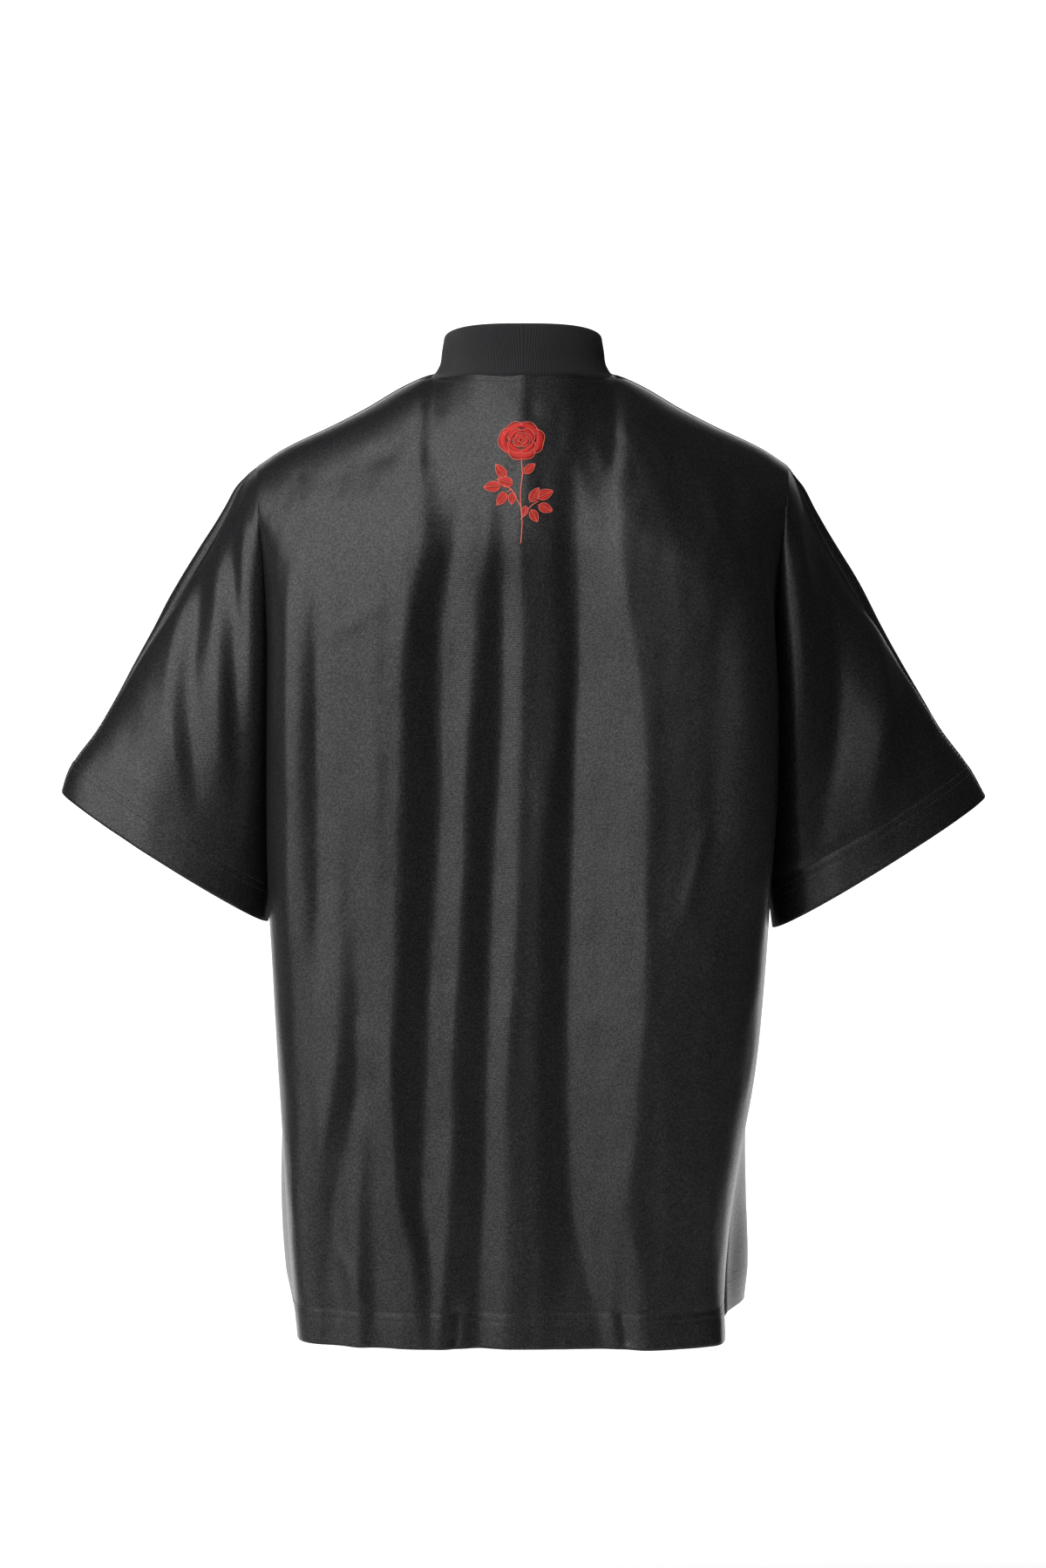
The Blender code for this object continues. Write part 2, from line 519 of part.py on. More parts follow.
def raise_folds(bare, heights, side):
    """Move each point out along the smooth form's normal by its fold height."""
    raised = []
    for row, line in enumerate(bare):
        out = []
        for column, point in enumerate(line):
            above = bare[max(0, row - 1)][column]
            below = bare[min(len(bare) - 1, row + 1)][column]
            left = line[max(0, column - 1)]
            right = line[min(len(line) - 1, column + 1)]
            normal = (below - above).cross(right - left)
            if heights[row][column] == 0.0 or normal.length < 1e-12:
                out.append(point)
                continue
            out.append(point + side * heights[row][column] * normal.normalized())
        raised.append(out)
    return raised


def sleeve_ends(crease, hand, side):
    """Inner ends of the sleeve's rows: the crease, then the underarm seam to the opening."""
    length = CUFF_INNER_DROP[hand] - TIP_DROP
    before_hem = 1 - (HEM_DEPTH + HEM_STEP) / OVERARM_LENGTH
    inner = [point for point in crease]
    for along in (before_hem, 1 - HEM_DEPTH / OVERARM_LENGTH, 1.0):
        drop = TIP_DROP + along * length
        x = read_table(UNDERARM_SEAMS, "left" if hand > 0 else "right", drop)
        inner.append(Vector((hand * x, side * GAP / 2, -drop)))
    return inner


def sleeve_grid(face, hand, crease):
    """Rows of points across half a sleeve, each from the wearer's left to the right."""
    side = SIDES[face]
    columns = SLEEVE_COLUMNS[face]
    bare = []
    heights = []
    for row, end in enumerate(sleeve_ends(crease, hand, side)):
        along = (-end.z - TIP_DROP) / (CUFF_INNER_DROP[hand] - TIP_DROP)
        drop = TIP_DROP + along * (CUFF_OUTER_DROP[hand] - TIP_DROP)
        inset = read_table(OVERARM, "inset", drop)
        outline = read_table(OVERARM, "left" if hand > 0 else "right", drop)
        start = Vector((hand * (outline - inset), side * GAP / 2, -drop))
        bulge = read_table(SLEEVE_RINGS, face, along)
        power = read_table(SLEEVE_RINGS, "roundness", along)
        line = [start]
        lift = [0.0]
        for column in range(1, columns):
            turn = column / columns
            across = (1 - math.cos(math.pi * turn)) / 2
            point = start.lerp(end, across)
            point.y += side * bulge * 2 * math.sqrt(across) * (1 - across) ** power
            if face == "front":
                from_seam = turn / ROLL_PEAK
                roll = inset * from_seam * math.exp(1 - from_seam)
                point += roll * Vector((hand * OVERARM_SLOPE[0], 0.0, OVERARM_SLOPE[1]))
            point.z += CUFF_TILT * along * point.y
            line.append(point)
            fade = math.sin(math.pi * turn) ** 0.7 * smooth_step(along / SLEEVE_FOLD_START)
            lift.append(fade * fold_height(SLEEVE_FOLDS[face], point.x, -point.z))
        line.append(end)
        lift.append(0.0)
        bare.append(line if hand > 0 else line[::-1])
        heights.append(lift if hand > 0 else lift[::-1])
    return raise_folds(bare, heights, side)


def add_strip(work, rows, side, hem):
    """Weld rows of vertices with faces that look out, and note the hem's vertices."""
    for upper, lower in zip(rows, rows[1:]):
        for index in range(len(upper) - 1):
            corners = [upper[index], lower[index], lower[index + 1], upper[index + 1]]
            if corners[0] is corners[3]:
                corners.pop()
            if side < 0:
                corners.reverse()
            work.faces.new(corners)
    for line in rows[-HEM_ROWS:]:
        hem.update(line)


def panel(name, face, material):
    """One panel with its half of both sleeves, as a wall on an open surface."""
    side = SIDES[face]
    work = bmesh.new()
    hem = set()
    body = [[work.verts.new(point) for point in line] for line in body_grid(face)]
    add_strip(work, body, side, hem)
    for hand in (1, -1):
        edge = 0 if hand > 0 else -1
        shared = [line[edge] for line in body[:UPPER_ROWS + 1]]
        grid = sleeve_grid(face, hand, [vert.co.copy() for vert in shared])
        rows = []
        for row, line in enumerate(grid):
            if row == 0:
                rows.append([shared[0]] * len(line))
                continue
            verts = []
            for column, point in enumerate(line):
                at_crease = column == (len(line) - 1 if hand > 0 else 0)
                if at_crease and row <= UPPER_ROWS:
                    verts.append(shared[row])
                else:
                    verts.append(work.verts.new(point))
            rows.append(verts)
        add_strip(work, rows, side, hem)
    work.verts.index_update()
    turned = [vert.index for vert in hem]
    mesh = bpy.data.meshes.new(name)
    work.to_mesh(mesh)
    work.free()
    surface = bpy.data.objects.new(name, mesh)
    group = surface.vertex_groups.new(name="turned_hem")
    group.add(turned, 1.0, "REPLACE")
    wall = surface.modifiers.new("wall", "SOLIDIFY")
    wall.thickness = TURNED_CLOTH
    wall.offset = -1.0
    wall.use_even_offset = False
    wall.vertex_group = group.name
    wall.thickness_vertex_group = CLOTH / TURNED_CLOTH
    return keep_to_side(surface, side, material)


def keep_to_side(surface, side, material):
    """Settle the wall, and trim its seam edges to half a gap from the seams' plane."""
    garment.objects.link(surface)
    graph = bpy.context.evaluated_depsgraph_get()
    mesh = bpy.data.meshes.new_from_object(surface.evaluated_get(graph))
    name = surface.name
    bpy.data.objects.remove(surface)
    for vert in mesh.vertices:
        if side * vert.co.y < GAP / 2:
            vert.co.y = side * GAP / 2
    mesh.name = name
    piece = bpy.data.objects.new(name, mesh)
    garment.objects.link(piece)
    mesh.materials.clear()
    mesh.materials.append(material)
    mesh.shade_smooth()
    return piece


# ---------------------------------------------------------------- the collar
def collar_base(angle):
    """The neck seam at an angle round the whole neck, on the panels' straight steps."""
    face = "back" if math.cos(angle) > 0 else "front"
    hand = 1 if math.sin(angle) > 0 else -1
    folded = math.asin(min(1.0, abs(math.sin(angle))))
    step = (math.pi / 2) / NECK_COLUMNS
    low = min(NECK_COLUMNS - 1, int(folded / step))
    part = folded / step - low
    point = neck_point(low * step, face).lerp(neck_point((low + 1) * step, face), part)
    point.x *= hand
    return point


def collar_profile(angle, ribbed):
    """One section of the collar, from its outer foot over the folded top to its inner foot."""
    base = collar_base(angle)
    side = 1 if math.cos(angle) > 0 else -1
    level = abs(math.cos(angle))
    plan = Vector((math.sin(angle) / NECK_HALF_WIDTH,
                   math.cos(angle) / (NECK_BACK if side > 0 else NECK_FRONT), 0)).normalized()
    steepness = smooth_step(level / 0.8)
    lean = math.radians(COLLAR_LEAN_SIDE + (COLLAR_LEAN_MIDDLE - COLLAR_LEAN_SIDE) * steepness)
    panel_out = plan * math.cos(lean) - Vector((0, 0, math.sin(lean)))
    panel_up = plan * math.sin(lean) + Vector((0, 0, math.cos(lean)))
    reach = COLLAR_TOP_BACK if side > 0 else COLLAR_TOP_FRONT
    shape = 2 / COLLAR_TOP_POWER
    top_x = COLLAR_TOP_HALF * math.copysign(abs(math.sin(angle)) ** shape, math.sin(angle))
    top_y = reach * side * level ** shape
    top_z = COLLAR_TOP_RISE - COLLAR_TOP_SLOPE * (COLLAR_TOP_BACK - top_y)
    top = Vector((top_x, top_y, top_z))
    foot = base - panel_out * COLLAR_GAP
    rise = top - foot
    rib = RIB_HEIGHT if ribbed else 0.0
    up = rise.normalized()
    inward = -(plan - up * plan.dot(up)).normalized()
    line = [foot + rise * point.up - panel_out * point.tuck for point in COLLAR_SECTION]
    outer = [place - inward * rib * point.rib for place, point in zip(line, COLLAR_SECTION)]
    fold = [top + up * COLLAR_FOLD_RISE + inward * COLLAR_WALL / 2]
    inner = [place + inward * COLLAR_WALL for place in line[:1:-1]]
    inner.append(foot - panel_up * COLLAR_WALL - panel_out * COLLAR_FOOT_TUCK)
    return outer + fold + inner


def collar(name, material):
    """The rib ring: a closed section carried round the neck, with a rib on every other column."""
    work = bmesh.new()
    columns = COLLAR_RIBS * 2
    rings = []
    for column in range(columns):
        angle = 2 * math.pi * (column + 0.5) / columns
        section = collar_profile(angle, column % 2 == 0)
        rings.append([work.verts.new(point) for point in section])
    for column in range(columns):
        here = rings[column]
        after = rings[(column + 1) % columns]
        for index in range(len(here)):
            beyond = (index + 1) % len(here)
            work.faces.new((here[index], here[beyond], after[beyond], after[index]))
    bmesh.ops.recalc_face_normals(work, faces=work.faces)
    mesh = bpy.data.meshes.new(name)
    work.to_mesh(mesh)
    work.free()
    piece = bpy.data.objects.new(name, mesh)
    mesh.materials.append(material)
    mesh.shade_smooth()
    garment.objects.link(piece)
    return piece


# ---------------------------------------------------------------- materials and assembly
def cloth_material(name, colour, roughness):
    material = bpy.data.materials.new(name)
    material.use_nodes = True
    shader = material.node_tree.nodes["Principled BSDF"]
    shader.inputs["Base Color"].default_value = (*colour, 1.0)
    shader.inputs["Roughness"].default_value = roughness
    shader.inputs["Metallic"].default_value = 0.0
    return material


for leftover in list(bpy.data.objects):
    bpy.data.objects.remove(leftover)
garment = bpy.data.collections.new("stand_collar_top")
bpy.context.scene.collection.children.link(garment)

satin = cloth_material("black_satin_knit", (0.016, 0.016, 0.018), 0.38)
rib_knit = cloth_material("black_rib_knit", (0.020, 0.020, 0.022), 0.85)

panel("back_panel", "back", satin)
panel("front_panel", "front", satin)
collar("rib_collar", rib_knit)
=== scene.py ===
"""The dressed model of a short, wide-sleeved top in satin knit with a ribbed stand collar.

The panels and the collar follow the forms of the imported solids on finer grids, with the small folds,
the ribs, the stitching and the embroidered rose that the solids leave out. The file is laid out as
an add-on: each piece has an operator, and main() calls them in order.

Metres, +Z up. The front faces -Y, and +X is the wearer's left. A "drop" is a depth below the origin.
"""
import math
from typing import NamedTuple

import bmesh
import bpy
import numpy as np
from bpy.props import FloatProperty, FloatVectorProperty, IntProperty, PointerProperty
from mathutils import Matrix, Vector, noise
from mathutils.bvhtree import BVHTree


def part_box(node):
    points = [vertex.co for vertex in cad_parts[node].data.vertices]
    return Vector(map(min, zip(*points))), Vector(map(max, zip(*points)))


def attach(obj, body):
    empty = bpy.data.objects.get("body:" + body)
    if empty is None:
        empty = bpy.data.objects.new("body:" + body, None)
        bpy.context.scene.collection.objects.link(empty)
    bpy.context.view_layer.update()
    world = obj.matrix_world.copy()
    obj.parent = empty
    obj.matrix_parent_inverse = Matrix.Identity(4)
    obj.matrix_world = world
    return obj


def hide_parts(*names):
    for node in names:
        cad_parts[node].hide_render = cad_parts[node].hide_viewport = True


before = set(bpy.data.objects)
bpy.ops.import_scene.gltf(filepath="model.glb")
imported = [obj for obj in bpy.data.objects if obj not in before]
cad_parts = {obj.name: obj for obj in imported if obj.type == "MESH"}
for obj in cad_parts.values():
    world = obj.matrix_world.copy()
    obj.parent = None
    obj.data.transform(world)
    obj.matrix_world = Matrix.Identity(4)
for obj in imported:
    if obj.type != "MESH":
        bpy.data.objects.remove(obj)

bl_info = {
    "name": "Stand-Collar Satin Top",
    "version": (1, 0, 0),
    "blender": (4, 5, 0),
    "location": "View3D > Sidebar > Satin Top",
    "description": "Builds a wide-sleeved satin-knit top with a rib collar and an embroidered rose",
    "category": "Object",
}

# ---------------------------------------------------------------- sizes of the cut, as in the solids
GAP = 0.0003                 # between two pieces at a seam
NECK_HALF_WIDTH = 0.0715     # between the shoulder seams' inner ends, halved
NECK_BACK = 0.056            # of the neck seam behind the shoulder line
NECK_FRONT = 0.072           # of the neck seam in front of it
TIP_HALF_WIDTH = 0.213       # where the sleeve's crease starts on the shoulder seam
TIP_DROP = 0.0710
UNDERARM_DROP = 0.405
BODY_LENGTH = -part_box("back_panel")[0][2]    # drop of the hem
HEM_DEPTH = 0.027            # of the turned hems
CUFF_OUTER_DROP = {1: 0.336, -1: 0.340}      # 1 on the wearer's left, -1 on the right
CUFF_INNER_DROP = {1: 0.441, -1: 0.446}
OVERARM_LENGTH = 0.306       # of the seam from the crease's start to the opening
CUFF_TILT = 0.06             # rise of the opening's plane for each metre towards the back
ROLL_PEAK = 0.12             # share of the way round where a panel's edge rolls out furthest
OVERARM_SLOPE = (0.86, 0.50)  # outward direction, across and up, square to the sleeve's outline

COLLAR_WALL = 0.0026         # rib folded double
COLLAR_TOP_HALF = 0.0630
COLLAR_TOP_BACK = 0.053
COLLAR_TOP_FRONT = 0.069
COLLAR_TOP_RISE = 0.0512     # of the top edge at the middle of the back
COLLAR_TOP_SLOPE = 0.377     # fall of the top edge for each metre towards the front
COLLAR_TOP_POWER = 2.6       # of the top edge's plan: 2 is an ellipse, more is fuller
COLLAR_FOLD_RISE = 0.0009    # of the fold above the top edge's corners
COLLAR_GAP = 0.0005          # to the panels, along the slope that they lie on
COLLAR_LEAN_SIDE = 20.0      # degrees that the panels fall away from level at the shoulders
COLLAR_LEAN_MIDDLE = 54.0    # the same at the middle of the back and of the front

SIDES = {"back": 1, "front": -1}

# ---------------------------------------------------------------- steps of the fine grids
NECK_COLUMNS = 34            # from the middle of the neck to the shoulder seam
SHOULDER_COLUMNS = 62        # from there to the sleeve's crease
UPPER_ROWS = 84              # from the shoulder seam to the underarm
LOWER_ROWS = 60              # from the underarm to the top of the hem
HEM_ROWS = 15                # in the hem and just above it
HEM_ZONE = 0.036             # height of those close rows
SLEEVE_COLUMNS = 46
EVEN_BY = 0.6                # share of the upper rows by which the columns are evenly spread
FOLD_START = 0.035           # below the top edge, over which folds grow to full height
ROUNDING = ((-0.0056, 0.06), (-0.0028, 0.25), (0.0, 0.38), (0.0028, 0.25), (0.0056, 0.06))
SLEEVE_FOLD_START = 0.15     # the same on a sleeve, as a share of its length
EDGE_HOLD = 24               # power by which the folds die out at the creases and side seams
TOP_ROWS_CLOSE = 1.6         # power that draws the upper rows together near the top edge
HEM_STITCH_LINES = (0.0235, 0.0295)      # above the hem's edge
HEM_PROUD = 0.0005           # how far the turned hem stands out
STITCH_DIP = 0.00055         # how far a row of stitches draws the cloth in
STITCH_DIP_WIDTH = 0.0019
GATHER_PITCH = 0.0075        # of the gathers along a row of stitches
THREAD_SIDES = 6             # corners round a thread
THREAD_STEPS = 5             # points along an embroidery stitch
RIB_STEPS = 6                # points across each rib of the collar
WALE = 0.0016                # width of a rib in its UV map


# ---------------------------------------------------------------- tables of sections, as in the solids
class Crest(NamedTuple):
    """The line that the cloth falls from: the shoulder seam, and across the neck its run on."""
    half: float              # distance from the middle
    back: float              # drop, as the back panel falls from it
    front: float
    reach: float             # drop from here to where the cloth hangs plumb
    power: float             # 0.5 for a round crest, more for a sloping one


class OverarmPoint(NamedTuple):
    drop: float
    left: float              # the sleeve's outline, from the middle, on the wearer's left
    right: float
    inset: float             # of the seam behind the outline


class Edge(NamedTuple):
    """The crease between body and sleeve, and below the underarm the side seam."""
    drop: float
    left: float              # distance from the middle on the wearer's left
    right: float
    back: float              # depth of the crease behind the seams' plane
    front: float
    fullness: float          # power of the section across the body: 2 round, 4 boxy
    roundness: float         # power of the section's edge: 1 soft, 0.25 rolled


class UnderarmSeam(NamedTuple):
    drop: float
    left: float
    right: float


class Centre(NamedTuple):
    drop: float
    back: float              # distance of the middle of the back from the seams' plane
    front: float


class SleeveRing(NamedTuple):
    along: float             # 0 at the shoulder, 1 at the opening
    back: float              # bulge behind the line from overarm seam to crease
    front: float
    roundness: float


class SideRoll(NamedTuple):
    """How far each panel rolls out beyond the crease or side seam."""
    drop: float
    back_left: float
    back_right: float
    front_left: float
    front_right: float


class CollarPoint(NamedTuple):
    """A point of the collar's section."""
    up: float                # share of the way from the neck seam to the top edge
    tuck: float              # towards the neck, from the straight line between them
    rib: float               # share of the rib's height that stands here


class FoldLine(NamedTuple):
    """A crest or the bottom of a trough: the cloth runs nearly straight from one line to the next."""
    name: str
    points: tuple            # (x, drop, height) from the top down; the height is outwards


class Pull(NamedTuple):
    """A short straight crease between two (x, drop) points."""
    name: str
    start: tuple
    end: tuple
    width: float             # half width
    height: float


CRESTS = (
    Crest(0.0000, -0.0520, -0.0090, 0.170, 0.80),
    Crest(0.0350, -0.0410, -0.0060, 0.160, 0.78),
    Crest(0.0550, -0.0220, -0.0040, 0.145, 0.70),
    Crest(0.0715, -0.0035, -0.0035, 0.130, 0.58),
    Crest(0.0830, 0.0005, 0.0005, 0.122, 0.52),
    Crest(0.1000, 0.0090, 0.0090, 0.115, 0.50),
    Crest(0.1260, 0.0245, 0.0245, 0.107, 0.50),
    Crest(0.1540, 0.0390, 0.0390, 0.098, 0.50),
    Crest(0.1820, 0.0520, 0.0520, 0.080, 0.50),
    Crest(0.1960, 0.0595, 0.0595, 0.065, 0.50),
    Crest(0.2130, 0.0710, 0.0710, 0.040, 0.50),
)

OVERARM = (
    OverarmPoint(0.0710, 0.2130, 0.2130, 0.000),
    OverarmPoint(0.0780, 0.2210, 0.2175, 0.001),
    OverarmPoint(0.0900, 0.2315, 0.2265, 0.004),
    OverarmPoint(0.1060, 0.2405, 0.2350, 0.006),
    OverarmPoint(0.1350, 0.2575, 0.2510, 0.008),
    OverarmPoint(0.1760, 0.2825, 0.2745, 0.008),
    OverarmPoint(0.2040, 0.2985, 0.2900, 0.005),
    OverarmPoint(0.2320, 0.3145, 0.3060, 0.003),
    OverarmPoint(0.2600, 0.3295, 0.3230, 0.002),
    OverarmPoint(0.2880, 0.3460, 0.3400, 0.002),
    OverarmPoint(0.3160, 0.3665, 0.3610, 0.002),
    OverarmPoint(0.3400, 0.3745, 0.3740, 0.001),
)

EDGES = (
    Edge(0.0710, 0.2130, 0.2130, 0.052, -0.052, 2.8, 1.00),
    Edge(0.1000, 0.2115, 0.2105, 0.053, -0.054, 3.6, 0.88),
    Edge(0.1300, 0.2095, 0.2070, 0.051, -0.053, 5.0, 0.72),
    Edge(0.1800, 0.2070, 0.2030, 0.044, -0.048, 7.5, 0.52),
    Edge(0.2500, 0.2055, 0.2000, 0.032, -0.037, 9.5, 0.40),
    Edge(0.3300, 0.2035, 0.1970, 0.016, -0.020, 10.5, 0.34),
    Edge(0.4050, 0.2010, 0.1950, 0.00165, -0.00165, 11.0, 0.31),
    Edge(0.4700, 0.1985, 0.1925, 0.00015, -0.00015, 11.0, 0.29),
    Edge(0.5500, 0.1960, 0.1870, 0.00015, -0.00015, 11.0, 0.27),
    Edge(0.6200, 0.1925, 0.1760, 0.00015, -0.00015, 11.0, 0.26),
    Edge(0.6800, 0.1890, 0.1670, 0.00015, -0.00015, 11.0, 0.25),
    Edge(0.7400, 0.1850, 0.1620, 0.00015, -0.00015, 11.0, 0.25),
    Edge(0.7710, 0.1820, 0.1630, 0.00015, -0.00015, 11.0, 0.25),
)

UNDERARM_SEAMS = (
    UnderarmSeam(0.4050, 0.2010, 0.1950),
    UnderarmSeam(0.4200, 0.2035, 0.1980),
    UnderarmSeam(0.4460, 0.2060, 0.2015),
)

CENTRES = (
    Centre(-0.010, 0.112, -0.118),
    Centre(0.060, 0.112, -0.122),
    Centre(0.130, 0.112, -0.130),
    Centre(0.220, 0.111, -0.139),
    Centre(0.378, 0.110, -0.143),
    Centre(0.560, 0.108, -0.143),
    Centre(0.771, 0.104, -0.141),
)

SLEEVE_RINGS = (
    SleeveRing(0.00, 0.000, 0.000, 1.00),
    SleeveRing(0.04, 0.010, 0.010, 1.00),
    SleeveRing(0.12, 0.018, 0.019, 0.85),
    SleeveRing(0.25, 0.029, 0.031, 0.62),
    SleeveRing(0.45, 0.042, 0.045, 0.46),
    SleeveRing(0.65, 0.049, 0.053, 0.40),
    SleeveRing(0.85, 0.053, 0.057, 0.38),
    SleeveRing(1.00, 0.055, 0.059, 0.38),
)

SIDE_ROLLS = (
    SideRoll(0.200, 0.000, 0.000, 0.000, 0.000),
    SideRoll(0.300, 0.003, 0.003, 0.000, 0.000),
    SideRoll(0.405, 0.006, 0.005, 0.000, 0.000),
    SideRoll(0.470, 0.005, 0.004, 0.001, 0.001),
    SideRoll(0.550, 0.003, 0.002, 0.003, 0.002),
    SideRoll(0.620, 0.002, 0.001, 0.006, 0.008),
    SideRoll(0.680, 0.002, 0.001, 0.011, 0.018),
    SideRoll(0.740, 0.001, 0.001, 0.012, 0.025),
    SideRoll(0.771, 0.001, 0.001, 0.009, 0.021),
)

COLLAR_SECTION = (
    CollarPoint(0.00, 0.0000, 0.0),
    CollarPoint(0.06, 0.0018, 1.0),
    CollarPoint(0.26, 0.0032, 1.0),
    CollarPoint(0.62, 0.0015, 1.0),
    CollarPoint(1.00, 0.0000, 0.6),
)

